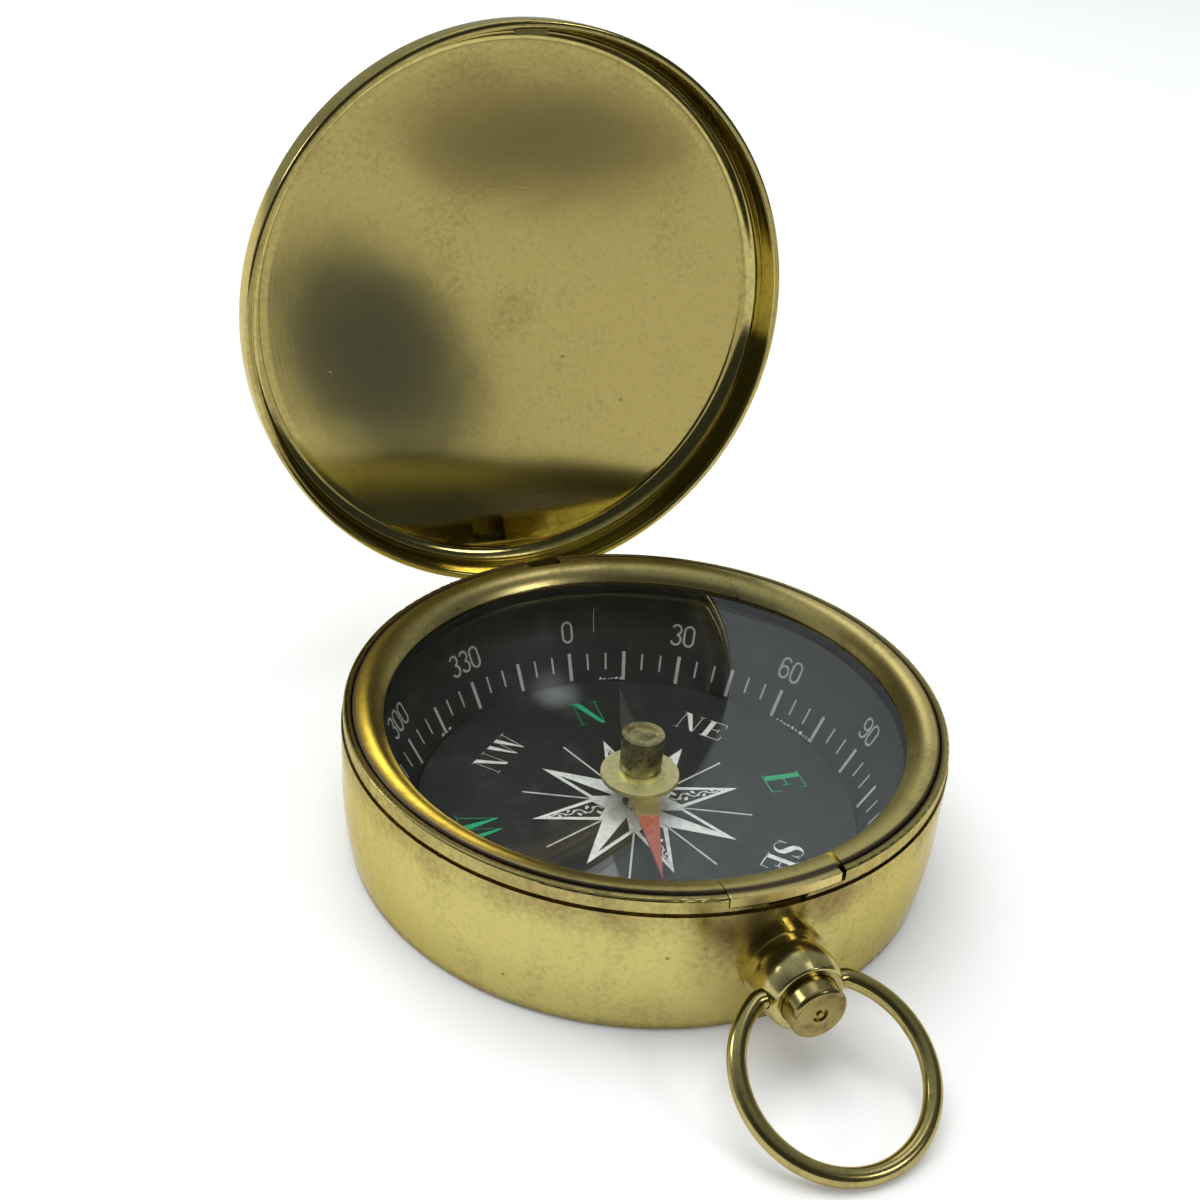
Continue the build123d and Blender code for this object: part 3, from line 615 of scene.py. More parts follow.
@dataclass(frozen=True)
class Capitals:
    """Upright capitals with thick stems and hairlines, one unit high."""

    stem: float = 0.185
    hair: float = 0.02
    serif: float = 0.2
    space: float = 0.14

    def width(self, letter: str) -> float:
        """Width of a letter."""
        return {"N": 0.88, "E": 0.74, "S": 0.62, "W": 1.12}[letter]

    def letter_n(self, sheet: PrintSheet, wide: float) -> None:
        """Draw an N: two hairlines and a thick slant."""
        left, right = 0.13, wide - 0.13
        for x in (left, right):
            sheet.ribbon([(x, 0.0), (x, 1.0)], self.hair)
        foot = [(right - self.stem * 0.55, 0.0), (right + 0.02, 0.0)]
        sheet.polygon([(left - 0.02, 1.0), *foot, (left + self.stem * 1.05, 1.0)])
        for x, y in ((left, 0.0), (left, 1.0), (right, 1.0)):
            sheet.ribbon([(x - self.serif / 2, y), (x + self.serif / 2, y)], self.hair)

    def letter_e(self, sheet: PrintSheet, wide: float) -> None:
        """Draw an E: a thick stem, three arms and the spurs at their ends."""
        stem_middle = 0.08 + self.stem / 2
        top_end, middle_end = wide * 0.94, wide * 0.7
        arm = self.hair * 1.7
        sheet.ribbon([(stem_middle, 0.0), (stem_middle, 1.0)], self.stem)
        sheet.ribbon([(0.0, self.hair / 2), (wide, self.hair / 2)], arm)
        sheet.ribbon([(stem_middle, 0.52), (middle_end, 0.52)], arm)
        sheet.ribbon([(0.0, 1.0 - self.hair / 2), (top_end, 1.0 - self.hair / 2)], arm)
        sheet.polygon([(wide - 0.03, 0.0), (wide, 0.0), (wide + 0.02, 0.27), (wide, 0.27)])
        spur = wide * 0.95
        sheet.polygon([(top_end - 0.03, 1.0), (top_end, 0.75), (spur, 0.75), (spur, 1.0)])
        sheet.ribbon([(middle_end, 0.40), (middle_end, 0.64)], self.hair * 1.4)

    def letter_s(self, sheet: PrintSheet, wide: float) -> None:
        """Draw an S: one line that swells in the middle, and a spur at each end."""
        top = arc((wide * 0.5, 0.74), wide * 0.36, 0.25, 20, 180, 10)
        spine = [(wide * 0.22, 0.62), (wide * 0.5, 0.51), (wide * 0.8, 0.40)]
        low = arc((wide * 0.5, 0.27), wide * 0.40, 0.26, 0, -160, 10)
        ends = [self.hair] * 7
        swell = [0.06, 0.09, 0.13, 0.16, 0.19, 0.23, 0.2, 0.15, 0.12, 0.09, 0.06]
        sheet.ribbon(top + spine + low, ends + swell + ends)
        for x, foot, head in ((wide * 0.88, 0.70, 0.98), (wide * 0.08, 0.02, 0.32)):
            sheet.ribbon([(x, foot), (x, head)], self.hair * 1.5)

    def letter_w(self, sheet: PrintSheet, wide: float) -> None:
        """Draw a W: two thick slants, each followed by a hairline."""
        tops = (0.12, wide * 0.5, wide - 0.12)
        feet = (wide * 0.33, wide * 0.71)
        broad, narrow = self.stem * 0.6, self.stem * 0.12
        for x, foot in zip(tops, feet):
            point = [(foot - narrow, 0.0), (foot + narrow, 0.0)]
            sheet.polygon([(x - broad, 1.0), *point, (x + broad, 1.0)])
        for foot, x in zip(feet, tops[1:]):
            sheet.ribbon([(foot, 0.0), (x, 1.0)], self.hair)
        for x in tops:
            sheet.ribbon([(x - self.serif * 0.6, 1.0), (x + self.serif * 0.6, 1.0)], self.hair)

    def draw(self, letter: str) -> PrintSheet:
        """Draw one letter from x = 0 and y = 0 up."""
        sheet = PrintSheet()
        pens = {"N": self.letter_n, "E": self.letter_e, "S": self.letter_s, "W": self.letter_w}
        pens[letter](sheet, self.width(letter))
        return sheet

    def write(self, text: str, height: float) -> PrintSheet:
        """Set one or two letters of some height in millimetres, with their middle at the origin."""
        sheet = PrintSheet()
        total = sum(self.width(letter) for letter in text) + self.space * (len(text) - 1)
        left = -total / 2
        for letter in text:
            sheet.take(self.draw(letter), lambda x, y, left=left: ((x + left) * height, (y - 0.5) * height))
            left += self.width(letter) + self.space
        return sheet


@dataclass(frozen=True)
class TickRow:
    """Equal marks around the scale, in degrees and millimetres; every skip-th can be left out."""

    name: str
    step: int
    foot: float
    length: float
    width: float
    skip: int | None = None


def put(name: str, data: bpy.types.ID) -> bpy.types.Object:
    """Put an object with its mesh, light or camera into the scene."""
    thing = bpy.data.objects.new(name, data)
    bpy.context.scene.collection.objects.link(thing)
    return thing


class TickTree(Tree):
    """Geometry nodes that set bars around the slope of the scale."""

    NUMBERS = ("Count", "Phase", "Skip")
    LENGTHS = ("First", "Step", "Foot", "Length", "Width", "Thickness", "Radius", "Base", "Slope")

    def __init__(self, ink: bpy.types.Material) -> None:
        """Build the tree, for bars of one ink."""
        group = bpy.data.node_groups.new("scale_ticks", "GeometryNodeTree")
        super().__init__(group)
        kinds = dict.fromkeys(self.NUMBERS, "NodeSocketInt") | dict.fromkeys(self.LENGTHS, "NodeSocketFloat")
        self.keys = {
            name: group.interface.new_socket(name, in_out="INPUT", socket_type=kind).identifier
            for name, kind in kinds.items()
        }
        group.interface.new_socket("Geometry", in_out="OUTPUT", socket_type="NodeSocketGeometry")
        given = self.add("NodeGroupInput").outputs
        index = self.add("GeometryNodeInputIndex").outputs[0]
        turn = self.math("SUBTRACT", given["First"], self.math("MULTIPLY", index, given["Step"]))
        middle = self.math("ADD", given["Foot"], self.math("MULTIPLY", given["Length"], 0.5))
        run = self.math("MULTIPLY", middle, self.math("COSINE", given["Slope"]))
        rise = self.math("MULTIPLY", middle, self.math("SINE", given["Slope"]))
        reach = self.math("ADD", given["Radius"], run)
        height = self.math("ADD", given["Base"], rise)
        x = self.math("MULTIPLY", reach, self.math("COSINE", turn))
        y = self.math("MULTIPLY", reach, self.math("SINE", turn))
        line = self.add("GeometryNodeMeshLine", {"Count": given["Count"]}).outputs[0]
        moved = {"Geometry": line, "Position": self.join(x, y, height)}
        spots = self.add("GeometryNodeSetPosition", moved).outputs[0]
        counted = self.math("ADD", index, given["Phase"])
        kept = self.math("GREATER_THAN", self.math("MODULO", counted, given["Skip"]), 0.5)
        size = self.join(given["Length"], given["Width"], given["Thickness"])
        bar = self.add("GeometryNodeMeshCube", {"Size": size}).outputs[0]
        lean = self.math("MULTIPLY", given["Slope"], -1.0)
        stand = self.add("FunctionNodeEulerToRotation", {0: self.join(0.0, lean, turn)}).outputs[0]
        sockets = {"Points": spots, "Selection": kept, "Instance": bar, "Rotation": stand}
        bars = self.add("GeometryNodeInstanceOnPoints", sockets).outputs[0]
        solid = self.add("GeometryNodeRealizeInstances", {0: bars}).outputs[0]
        inked = self.add("GeometryNodeSetMaterial", {"Geometry": solid, "Material": ink}).outputs[0]
        self.add("NodeGroupOutput", {0: inked})

    def mesh(self, name: str, values: dict[str, float]) -> bpy.types.Mesh:
        """Run the tree with its inputs by name, and keep the result as a plain mesh."""
        holder = put(name, bpy.data.meshes.new(f"{name}_start"))
        modifier = holder.modifiers.new(name, "NODES")
        modifier.node_group = self.tree
        for key, value in values.items():
            modifier[self.keys[key]] = value
        graph = bpy.context.evaluated_depsgraph_get()
        mesh = bpy.data.meshes.new_from_object(holder.evaluated_get(graph))
        mesh.name = name
        holder.modifiers.clear()
        bpy.data.objects.remove(holder)
        return mesh


def add_piece(
    name: str, mesh: bpy.types.Mesh, body: str, finish: bpy.types.Material
) -> bpy.types.Object:
    """Put a finished mesh into the scene on a body of the model.

    Args:
        name: Name of the piece.
        mesh: Its mesh, in place.
        body: Body that it moves with.
        finish: Its material.

    Returns:
        The piece.
    """
    piece = put(name, mesh)
    mesh.materials.clear()
    mesh.materials.append(finish)
    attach(piece, body)
    log.info("%s rides on %s: %d faces", name, body, len(mesh.polygons))
    return piece


@dataclass(frozen=True)
class Vine:
    """Scrolled vine that fills a main point of the rose, smaller towards the tip."""

    foot: float = 3.1
    stretch: float = 0.175
    stretches: int = 28
    swing: float = 0.42
    waves: float = 3.6
    line: float = 0.11
    line_reach: float = 5.8
    leaf_start: float = 0.45
    leaf_pitch: float = 0.86
    leaf_pairs: int = 6
    leaf_reach: float = 5.9
    pair: tuple[tuple[float, ...], ...] = (  # aside, up, length, width and lean of each leaf
        (0.5, 0.0, 0.62, 0.4, 0.9),
        (-0.3, 0.36, 0.4, 0.24, -0.7),
    )

    def draw(self) -> PrintSheet:
        """Draw the stalk and its pairs of leaves, y being the way outward."""
        sheet = PrintSheet()
        path = []
        for step in range(self.stretches + 1):
            along = step * self.stretch
            sway = self.swing * (1 - along / self.line_reach) * math.sin(along * self.waves)
            path.append((sway, self.foot + along))
        sheet.ribbon(path, self.line)
        for number in range(self.leaf_pairs):
            along = self.leaf_start + number * self.leaf_pitch
            y = self.foot + along
            side = 1 if number % 2 else -1
            room = 1 - along / self.leaf_reach
            longer, broader = 0.5 + room / 2, 0.4 + room / 2
            for aside, up, length, width, lean in self.pair:
                centre = (side * aside * room, y + up)
                sheet.leaf(centre, length * longer, width * broader, side * lean + math.pi / 2)
        return sheet


@dataclass
class Dial:
    """Print of the card and of the sloped scale around it."""

    north: float = 85.12
    card_top: float = 1.4
    fold_radius: float = 19.2
    slope: float = 60.0
    slope_straight: float = 4.93
    bend_radius: float = 4.0
    lift: float = 0.016
    slope_lift: float = 0.03
    rose_tip: float = 9.35
    rose_waist: float = 3.9
    rose_gap: float = 0.1
    field_foot: float = 2.9
    field_tip: float = 8.2
    field_border: float = 0.42
    half_foot: float = 2.2
    half_tip: float = 7.6
    half_border: float = 0.36
    half_rise: float = 0.12
    ray_end: float = 9.95
    ray_width: float = 0.17
    letter_radius: float = 13.85
    letter_height: float = 3.4
    pair_radius: float = 13.6
    pair_height: float = 2.6
    number_place: float = 4.75
    number_height: float = 1.9
    tick_thickness: float = 0.02
    tick_rows: tuple[TickRow, ...] = (
        TickRow("ticks_short", 5, 1.0, 1.55, 0.17, skip=3),
        TickRow("ticks_long", 15, 0.1, 2.6, 0.32),
    )
    fleck_seed: int = 7
    fleck_width: Point = (0.5, 1.6)
    fleck_low: Point = (0.02, 0.08)
    fleck_high: Point = (0.15, 0.36)
    fleck_gap: Point = (0.1, 0.7)
    seam_bearing: float = 7.0
    seam_width: float = 0.06
    seam_foot: float = 4.6
    seam_step: float = 0.3
    seam_points: int = 12
    inks: dict[Ink, bpy.types.Material] = field(default_factory=dict)

    def on_card(self, level: int) -> Lay:
        """The place on the card of a point with y to the north, some layers of ink up."""
        turn = math.radians(self.north - 90)
        height = self.card_top + self.lift * (level + 1)

        def lay(x: float, y: float) -> Vector:
            """One point of the card."""
            u = x * math.cos(turn) - y * math.sin(turn)
            v = x * math.sin(turn) + y * math.cos(turn)
            return Vector((u, v, height)) * MM

        return lay

    def on_slope(self, bearing: float) -> Lay:
        """The place on the scale of a point beside a bearing, y being the way up from the fold."""
        middle = math.radians(self.north - bearing)
        lean = math.radians(self.slope)

        def lay(x: float, y: float) -> Vector:
            """One point of the scale."""
            straight = min(y, self.slope_straight)
            radius = self.fold_radius + straight * math.cos(lean)
            height = self.card_top + straight * math.sin(lean)
            bent = lean
            if y > self.slope_straight:
                bent = min(lean + (y - self.slope_straight) / self.bend_radius, math.pi / 2)
                radius += self.bend_radius * (math.sin(bent) - math.sin(lean))
                height += self.bend_radius * (math.cos(lean) - math.cos(bent))
            radius -= self.slope_lift * math.sin(bent)
            height += self.slope_lift * math.cos(bent)
            turn = middle - x / radius
            return Vector((radius * math.cos(turn), radius * math.sin(turn), height)) * MM

        return lay

    @staticmethod
    def spoke(bearing: float) -> Callable[[float, float], Point]:
        """Turns label points, x to the right and y outward, to a bearing on the card."""
        turn = math.radians(-bearing)
        return lambda x, y: (x * math.cos(turn) - y * math.sin(turn), x * math.sin(turn) + y * math.cos(turn))

    def lay_flat(self, name: str, sheet: PrintSheet, ink: Ink, level: int) -> None:
        """Print a sheet on the card."""
        mesh = sheet.mesh(name, self.on_card(level), lambda place: Vector((0, 0, 1)))
        add_piece(name, mesh, "case", self.inks[ink])

    def rose(self) -> None:
        """Print the eight-pointed rose with its rays."""
        white, black, vines, rays = PrintSheet(), PrintSheet(), PrintSheet(), PrintSheet()
        waist, tip, gap = self.rose_waist, self.rose_tip, self.rose_gap
        half = math.radians(22.5)
        x, y = waist * math.sin(half), waist * math.cos(half)
        star = [(0.0, 0.0), (x, y), (0.0, tip), (-x, y)]
        inset = x - self.field_border
        full = [(0.0, self.field_foot), (inset, y + gap), (0.0, self.field_tip), (-inset, y + gap)]
        narrow = (self.half_border - x, y + self.half_rise)
        shaded = [(-gap, self.half_foot), (-gap, self.half_tip), narrow]
        vine = Vine().draw()
        for number in range(8):
            main = number % 2 == 0
            turn, between = self.spoke(45.0 * number), self.spoke(45.0 * number + 22.5)
            white.polygon([turn(*corner) for corner in star])
            black.polygon([turn(*corner) for corner in (full if main else shaded)])
            if main:
                vines.take(vine, turn)
            rays.ribbon([between(0.0, waist - gap), between(0.0, self.ray_end)], self.ray_width)
        self.lay_flat("rose_star", white, Ink.WHITE, 0)
        self.lay_flat("rose_rays", rays, Ink.GREY, 0)
        self.lay_flat("rose_shading", black, Ink.BLACK, 1)
        self.lay_flat("rose_vines", vines, Ink.WHITE, 2)

    def letters(self) -> None:
        """Print the letters of the eight winds, green for the main four."""
        capitals = Capitals()
        main, between = PrintSheet(), PrintSheet()
        for number, text in enumerate(("N", "NE", "E", "SE", "S", "SW", "W", "NW")):
            single = len(text) == 1
            height = self.letter_height if single else self.pair_height
            radius = self.letter_radius if single else self.pair_radius
            turn = self.spoke(45.0 * number)
            sheet = main if single else between
            word = capitals.write(text, height)
            sheet.take(word, lambda x, y, turn=turn, radius=radius: turn(x, y + radius))
        self.lay_flat("letters_main", main, Ink.GREEN, 0)
        self.lay_flat("letters_between", between, Ink.WHITE, 0)

    def numbers(self) -> None:
        """Print the degrees on the scale, every thirty."""
        numerals = Numerals()
        for bearing in range(0, 360, 30):
            sheet = PrintSheet()
            figures = numerals.write(str(bearing), self.number_height)
            sheet.take(figures, lambda x, y: (x, y + self.number_place))
            self.lay_on_slope(f"number_{bearing:03d}", sheet, bearing, Ink.GREY)

    def lay_on_slope(self, name: str, sheet: PrintSheet, bearing: float, ink: Ink) -> None:
        """Print a sheet on the scale beside a bearing."""

        def inward(place: Vector) -> Vector:
            """The side that the scale is seen from."""
            return Vector((-place.x, -place.y, abs(place.x) + abs(place.y)))

        mesh = sheet.mesh(name, self.on_slope(bearing), inward)
        add_piece(name, mesh, "case", self.inks[ink])

    def ticks(self) -> None:
        """Print the degree marks: short every five, long and thick every fifteen."""
        tree = TickTree(self.inks[Ink.GREY])
        lean = math.radians(self.slope)
        shared = {
            "First": math.radians(self.north),
            "Thickness": self.tick_thickness * MM,
            "Radius": (self.fold_radius - self.slope_lift * math.sin(lean)) * MM,
            "Base": (self.card_top + self.slope_lift * math.cos(lean)) * MM,
            "Slope": lean,
        }
        for row in self.tick_rows:
            count = 360 // row.step
            own = {
                "Count": count,
                "Phase": 0 if row.skip else 1,
                "Skip": row.skip or count + 1,
                "Step": math.radians(row.step),
                "Foot": row.foot * MM,
                "Length": row.length * MM,
                "Width": row.width * MM,
            }
            mesh = tree.mesh(row.name, {**shared, **own})
            add_piece(row.name, mesh, "case", self.inks[Ink.GREY])

    def flecks(self) -> None:
        """Print the smears of ink along the fold and the seam of the scale's strip."""
        chance = random.Random(self.fleck_seed)
        smears = (("fleck_a", 8.0, 15.0), ("fleck_b", 62.0, 75.0), ("fleck_c", 313.0, 316.5))
        for name, first, last in smears:
            sheet = PrintSheet()
            middle = (first + last) / 2
            place = first
            while place < last:
                width = chance.uniform(*self.fleck_width)
                x = math.radians(place - middle) * self.fold_radius
                low, high = chance.uniform(*self.fleck_low), chance.uniform(*self.fleck_high)
                end = x + math.radians(width) * self.fold_radius
                sheet.polygon([(x, low), (end, low), (end - 0.05, high), (x + 0.08, high * 0.8)])
                place += width + chance.uniform(*self.fleck_gap)
            self.lay_on_slope(name, sheet, middle, Ink.WHITE)
        seam = PrintSheet()
        path = [(0.0, self.seam_foot + self.seam_step * step) for step in range(self.seam_points)]
        seam.ribbon(path, self.seam_width)
        self.lay_on_slope("scale_seam", seam, self.seam_bearing, Ink.GREY)

    def build(self) -> None:
        """Print everything on the dial."""
        self.inks = {ink: ink.material() for ink in Ink}
        self.rose()
        self.letters()
        self.numbers()
        self.ticks()
        self.flecks()


@dataclass
class LidShell:
    """Dish of the lid, turned in fine steps so that its mirror finish stays smooth."""

    radius: float = 25.65
    wall: float = 0.7
    rim: float = 11.75
    height: float = 4.75
    corner_radius: float = 2.2
    dome: float = 1.35
    edge_radius: float = 0.25
    segments: int = 240
    dish_steps: int = 40
    corner_steps: int = 20
    edge_steps: int = 6

    def dish(self, depth: float) -> list[Point]:
        """One skin of the dish, some depth below the outer one, as radius and height from the middle."""
        flat = self.radius - self.corner_radius
        top = self.rim + self.height + self.dome - depth
        sphere = (flat**2 + self.dome**2) / (2 * self.dome)
        points = []
        for step in range(self.dish_steps + 1):
            radius = flat * step / self.dish_steps
            points.append((radius, top - sphere + math.sqrt(sphere**2 - radius**2)))
        centre = (flat, self.rim + self.height - self.corner_radius)
        bend = self.corner_radius - depth
        return points + arc(centre, bend, bend, 90, 0, self.corner_steps)[1:]

    def profile(self) -> list[Point]:
        """The whole section, from the inside's middle over the rim to the outside's."""
        edge = self.edge_radius
        inner = self.radius - self.wall
        inside = arc((inner + edge, self.rim + edge), edge, edge, 180, 270, self.edge_steps)
        outside = arc((self.radius - edge, self.rim + edge), edge, edge, 270, 360, self.edge_steps)
        return self.dish(self.wall) + inside + outside + self.dish(0.0)[::-1]

    def mesh(self) -> bpy.types.Mesh:
        """Turn the section about the lid's axis and swing it open."""
        hinge = Vector(LID_HINGE)
        swing = Matrix.Rotation(math.radians(-LID_OPEN), 3, "X")
        section = self.profile()
        ends = {0, len(section) - 1}
        places, rings = [], []
        for number, (radius, height) in enumerate(section):
            count = 1 if number in ends else self.segments
            rings.append(range(len(places), len(places) + count))
            for step in range(count):
                turn = math.tau * step / self.segments
                spot = Vector((radius * math.cos(turn), radius * math.sin(turn), height))
                places.append(tuple((swing @ (spot - hinge) + hinge) * MM))
        faces = []
        for first, second in zip(rings, rings[1:]):
            for step in range(self.segments):
                after = (step + 1) % self.segments
                near = (first[step % len(first)], second[step % len(second)])
                far = (second[after % len(second)], first[after % len(first)])
                faces.append(tuple(dict.fromkeys(near + far)))
        mesh = bpy.data.meshes.new("lid_dish")
        mesh.from_pydata(places, [], faces)
        mesh.polygons.foreach_set("use_smooth", [True] * len(faces))
        mesh.update()
        return mesh

    def build(self, finish: bpy.types.Material) -> None:
        """Put the dish in the place of the drawn one."""
        piece = add_piece("lid_dish", self.mesh(), "lid", finish)
        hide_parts("lid_shell")


@dataclass
class Metalwork:
    """Finishes of the model's own solids."""

    pendant_height: float = 6.5
    rim_groove: Groove = Groove(24.14, 0.42, 0.9)

    def wearers(self) -> list[tuple[Finish, list[str]]]:
        """Each finish with the nodes that wear it."""
        along_pendant = Frame((0.0, 0.0, self.pendant_height), (math.radians(90), 0.0, 0.0))
        case = Brass(
            "case_brass",
            # The second band darkens the foot of the wall as painted shade; the first band and the patches by
            # the pendant are tarnish.
            bands=(Band(Along.HEIGHT, 8.2, 11.6, 0.6), Band(Along.HEIGHT, 1.6, 0.2, 0.3)),
            stains=(Stain((-3.2, -24.6, 8.6), 4.2, 0.7), Stain((4.0, -24.4, 10.2), 3.2, 0.45)),
            grooves=(self.rim_groove,), streaking=0.3, clouding=0.2,
        )
        rim = Brass(
            "bezel_brass", polished=(0.68, 0.555, 0.215), clouding=0.4, cloud_size=5.0,
            roughness=0.3, worn_roughness=0.46, grooves=(self.rim_groove,),
        )
        lid = Brass(
            "lid_brass", place=Frame.about_x(LID_HINGE, -LID_OPEN), roughness=0.085,
            worn_roughness=0.2, clouding=0.18, bands=(Band(Along.RADIUS, 22.6, 24.9, 0.6),),
            # Both round patches on the lid are painted dark reflections, coloured like tarnish.
            stains=(Stain((0.5, 0.5, 16.4), 3.4, 0.25), Stain((-4.0, -19.0, 16.0), 5.0, 0.3)),
            wave_depth=0.02,
        )
        pendant = Brass(
            "pendant_brass", place=along_pendant, polished=(0.52, 0.44, 0.185),
            tarnish=(0.17, 0.115, 0.055), clouding=0.45, cloud_size=3.0, roughness=0.2,
        )
        button = Brass(
            "button_brass", place=along_pendant, polished=(0.34, 0.275, 0.105),
            tarnish=(0.14, 0.095, 0.045), clouding=0.7, cloud_size=2.0, roughness=0.22,
        )
        ring = Brass(
            "ring_brass", polished=(0.45, 0.375, 0.14), tarnish=(0.17, 0.115, 0.06), clouding=0.5,
            cloud_size=4.0, roughness=0.2,
        )
        hub = Brass(
            "turned_hub", polished=(0.86, 0.82, 0.46), tarnish=(0.15, 0.12, 0.07), clouding=0.2,
            cloud_size=2.0, roughness=0.5, worn_roughness=0.36,
            bands=(Band(Along.HEIGHT, 4.85, 5.4, 0.85),),
        )
        bright = Steel("bright_steel", (0.62, 0.61, 0.58), (0.50, 0.48, 0.44))
        blued = Steel("blued_steel", (0.20, 0.22, 0.27), (0.13, 0.15, 0.22))
        card = BlackCard("dial_black", bloom=Stain((-0.6, 17.7, 1.4), 3.2, 0.6))
        return [
            (case, ["case_body"]),
            (rim, ["bezel_ring", "lock_spring"]),
            (lid, ["lid_shell", "lid_catch", "lid_hinge"]),
            (pendant, ["pendant_tube", "case_hinge"]),
            (button, ["button_cap"]),
            (ring, ["bow_ring"]),
            (hub, ["needle_hub"]),
            (bright, ["pivot_boss", "pivot_pin", "hinge_pin", "spring_screws", "button_stem"]),
            (blued, ["lift_spring"]),
            (card, ["dial_card", "scale_ring"]),
            (NeedlePaint("needle_paint"), ["needle_blade"]),
            (Jewel("red_stone"), ["hub_jewel"]),
            (ClearGlass("window_glass"), ["glass"]),
            (Packing("black_packing"), ["glass_gasket"]),
        ]

    def build(self) -> dict[str, bpy.types.Material]:
        """Dress every node of the model, and hand back the materials by node name."""
        worn = {}
        for finish, names in self.wearers():
            material = finish.material()
            for name in names:
                worn[name] = material
                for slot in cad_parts[name].material_slots:
                    slot.material = material
            log.info("%s on %s", finish.name, ", ".join(names))
        return worn


@dataclass
class Card:
    """An oval studio card that only reflections show, on edge or flat on the floor."""

    name: str
    colour: Colour
    centre: Place3
    across: float
    high: float
    tilt: float = 0.0
    flat: bool = False
    corners: int = 48

    def places(self) -> list[Place3]:
        """Points around the card, in metres."""
        tilt = math.radians(self.tilt)
        spots = []
        last = 360 - 360 / self.corners
        for u, v in arc((0.0, 0.0), self.across, self.high, 0, last, self.corners - 1):
            x = u * math.cos(tilt) - v * math.sin(tilt)
            up = u * math.sin(tilt) + v * math.cos(tilt)
            spot = Vector(self.centre) + (Vector((x, up, 0.0)) if self.flat else Vector((x, 0.0, up)))
            spots.append(tuple(spot * MM))
        return spots

    def build(self) -> None:
        """Set the card, seen by mirror rays alone."""
        mesh = bpy.data.meshes.new(self.name)
        places = self.places()
        mesh.from_pydata(places, [], [tuple(range(len(places)))])
        card = put(self.name, mesh)
        shader = Shader(f"{self.name}_paper")
        glow = shader.add("ShaderNodeEmission", {0: (*self.colour, 1.0), 1: 1.0})
        shader.tree.links.new(glow.outputs[0], shader.output.inputs["Surface"])
        mesh.materials.append(shader.material)
        card.visible_camera = False
        card.visible_diffuse = False
        card.visible_shadow = False
        card.visible_transmission = False


@dataclass
class Lamp:
    """A round soft lamp that looks at the compass."""

    name: str
    place: Place3
    size: float
    power: float
    mirrored: bool = True
    target: Place3 = (0.0, 0.0, 10.0)

    def build(self) -> None:
        """Hang the lamp."""
        light = bpy.data.lights.new(self.name, "AREA")
        light.shape = "DISK"
        light.size = self.size * MM
        light.energy = self.power
        lamp = put(self.name, light)
        lamp.visible_glossy = self.mirrored
        place = Vector(self.place) * MM
        lamp.location = place
        lamp.rotation_euler = (Vector(self.target) * MM - place).to_track_quat("-Z", "Y").to_euler()


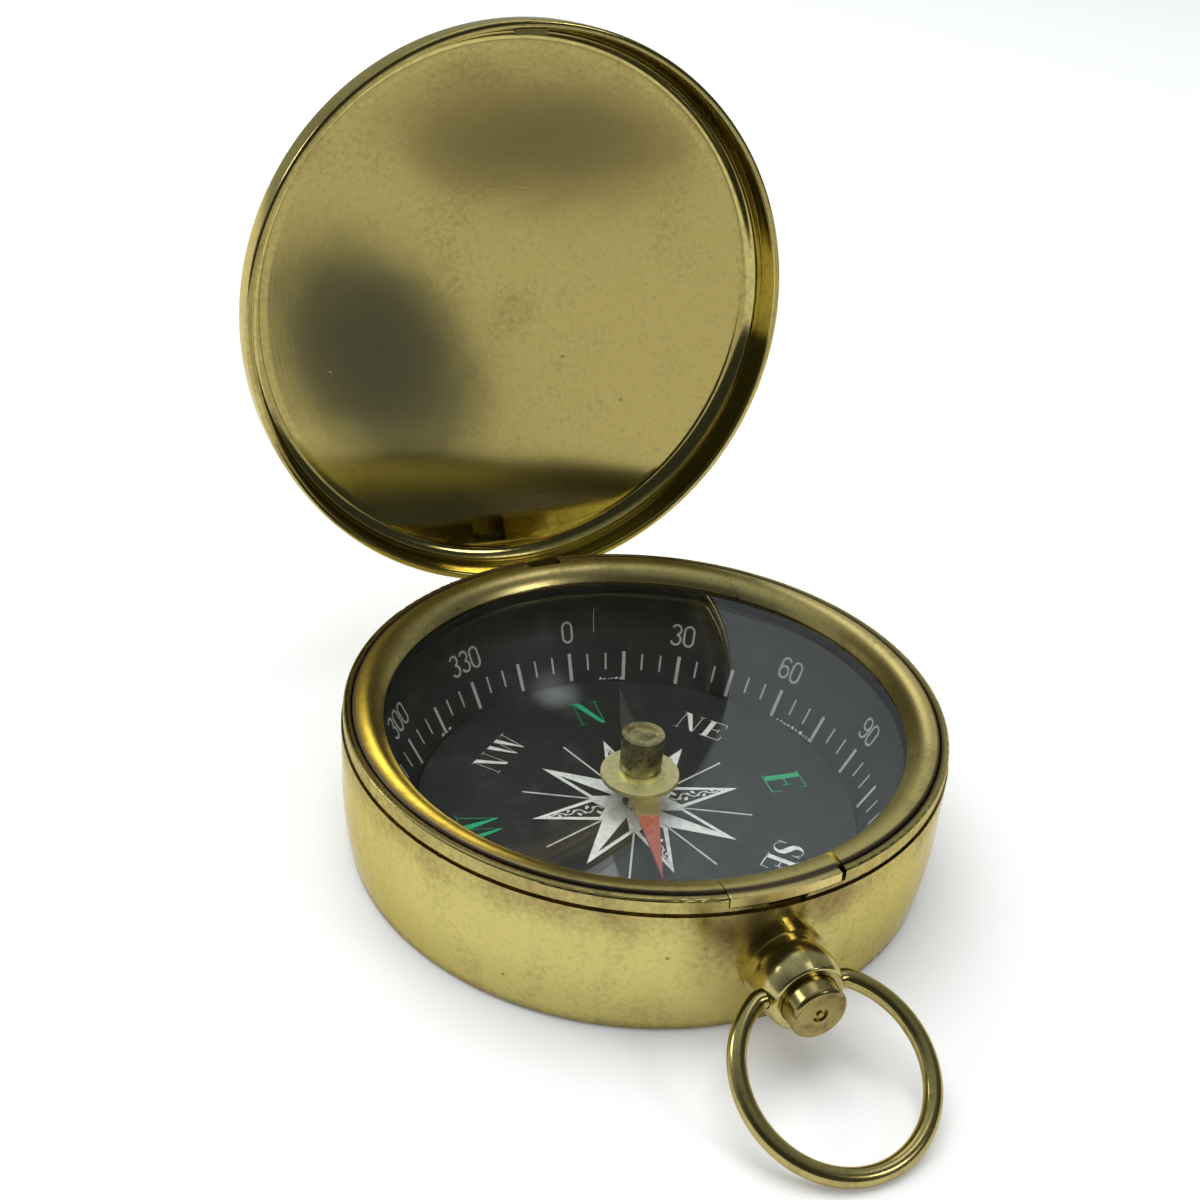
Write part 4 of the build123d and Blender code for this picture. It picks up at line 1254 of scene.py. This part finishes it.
@dataclass
class Studio:
    """Pale floor, soft surroundings, lamps and cards."""

    floor_size: float = 6000.0
    paper: Colour = (0.86, 0.86, 0.85)
    paper_glow: float = 0.2
    sky: Colour = (0.88, 0.97, 1.0)
    overhead: float = 0.2
    behind: float = 0.45
    before: float = 0.05
    room_depth: Point = (-0.4, 0.6)
    overhead_rise: Point = (0.72, 0.98)
    backdrop: float = 0.9
    lamps: tuple[Lamp, ...] = (
        Lamp("top", (-150.0, 150.0, 1200.0), 1200.0, 11.0, mirrored=False),
        Lamp("ceiling", (200.0, 0.0, 570.0), 170.0, 0.11),
        Lamp("front", (278.0, -382.0, 360.0), 130.0, 0.3),
        Lamp("left", (-396.0, 336.0, 300.0), 160.0, 0.5),
        Lamp("back", (60.0, 400.0, 420.0), 280.0, 0.2),
    )
    cards: tuple[Card, ...] = (
        Card("front_card", (0.69, 0.66, 0.63), (170.0, -430.0, 0.3), 300.0, 375.0, flat=True),
        Card("far_card", (0.18, 0.16, 0.19), (44.5, -80.0, 23.4), 7.6, 3.3, 12.0),
        Card("near_card", (0.055, 0.065, 0.13), (33.0, -80.0, 10.6), 5.8, 6.2),
    )

    def floor(self) -> None:
        """Lay the floor."""
        half = self.floor_size / 2 * MM
        mesh = bpy.data.meshes.new("floor")
        corners = [(-half, -half, 0), (half, -half, 0), (half, half, 0), (-half, half, 0)]
        mesh.from_pydata(corners, [], [(0, 1, 2, 3)])
        floor = put("floor", mesh)
        shader = Shader("pale_paper")
        fibre = shader.noise(shader.millimetres(Frame()), 0.8, 5.0)
        paler = tuple(min(value * 1.03, 1.0) for value in self.paper)
        shader.dress(
            Base_Color=shader.blend(fibre, self.paper, paler),
            Roughness=0.9,
            Emission_Color=(1.0, 1.0, 1.0, 1.0),
            Emission_Strength=self.paper_glow,
        )
        mesh.materials.append(shader.material)

    def surroundings(self) -> None:
        """Set a dim room before the compass, a paler wall behind and a plain backdrop for the camera."""
        world = bpy.data.worlds.new("studio")
        world.use_nodes = True
        bpy.context.scene.world = world
        tree = Tree(world.node_tree)
        world.node_tree.nodes.clear()
        direction = tree.add("ShaderNodeTexCoord").outputs["Generated"]
        _, depth, height = tree.split(direction)
        room = tree.span(depth, *self.room_depth, self.before, self.behind)
        above = tree.span(height, *self.overhead_rise, 0.0, self.overhead)
        strength = tree.math("ADD", room, above)
        light = tree.add("ShaderNodeBackground", {0: (*self.sky, 1.0), 1: strength})
        backdrop = tree.add("ShaderNodeBackground", {0: (1.0, 1.0, 1.0, 1.0), 1: self.backdrop})
        seen = tree.add("ShaderNodeLightPath").outputs["Is Camera Ray"]
        mixed = tree.add("ShaderNodeMixShader", {0: seen, 1: light.outputs[0], 2: backdrop.outputs[0]})
        tree.add("ShaderNodeOutputWorld", {0: mixed.outputs[0]})

    def build(self) -> None:
        """Set up the studio."""
        self.floor()
        self.surroundings()
        for lamp in self.lamps:
            lamp.build()
        for card in self.cards:
            card.build()
        bpy.context.scene.view_settings.view_transform = "Standard"
        log.info("studio: %d lamps and %d cards", len(self.lamps), len(self.cards))


@dataclass
class Viewer:
    """Camera at the photograph's place."""

    azimuth: float = -24.93
    elevation: float = 30.47
    roll: float = 4.30
    distance: float = 136.66
    focal_pixels: float = 1609.83
    across: float = -3.42
    up: float = 14.23
    aim_height: float = 6.0
    frame_pixels: float = 1200.0
    sensor: float = 36.0
    nearest: float = 1.0

    def build(self) -> None:
        """Place the camera and make it the scene's own."""
        turn, rise, roll = (math.radians(value) for value in (self.azimuth, self.elevation, self.roll))
        back = Vector((math.sin(turn) * math.cos(rise), -math.cos(turn) * math.cos(rise), math.sin(rise)))
        level = Vector((math.cos(turn), math.sin(turn), 0.0))
        upright = back.cross(level)
        right = math.cos(roll) * level + math.sin(roll) * upright
        above = -math.sin(roll) * level + math.cos(roll) * upright
        place = Vector((0.0, 0.0, self.aim_height)) + back * self.distance
        place += right * self.across + above * self.up
        camera = put("viewer", bpy.data.cameras.new("viewer"))
        stand = Matrix((right, above, back)).transposed().to_4x4()
        stand.translation = place * MM
        camera.matrix_world = stand
        camera.data.sensor_width = self.sensor
        camera.data.lens = self.focal_pixels / self.frame_pixels * self.sensor
        camera.data.clip_start = self.nearest * MM
        bpy.context.scene.camera = camera


def note_sizes() -> None:
    """Update the view layer; no sizes are written."""
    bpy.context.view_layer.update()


def main() -> None:
    """Build the looks of the compass in order."""
    logging.basicConfig(level=logging.INFO, format="%(name)s: %(message)s")
    Viewer().build()
    Studio().build()
    finishes = Metalwork().build()
    LidShell().build(finishes["lid_shell"])
    Dial().build()
    note_sizes()


if __name__ == "__main__":
    main()
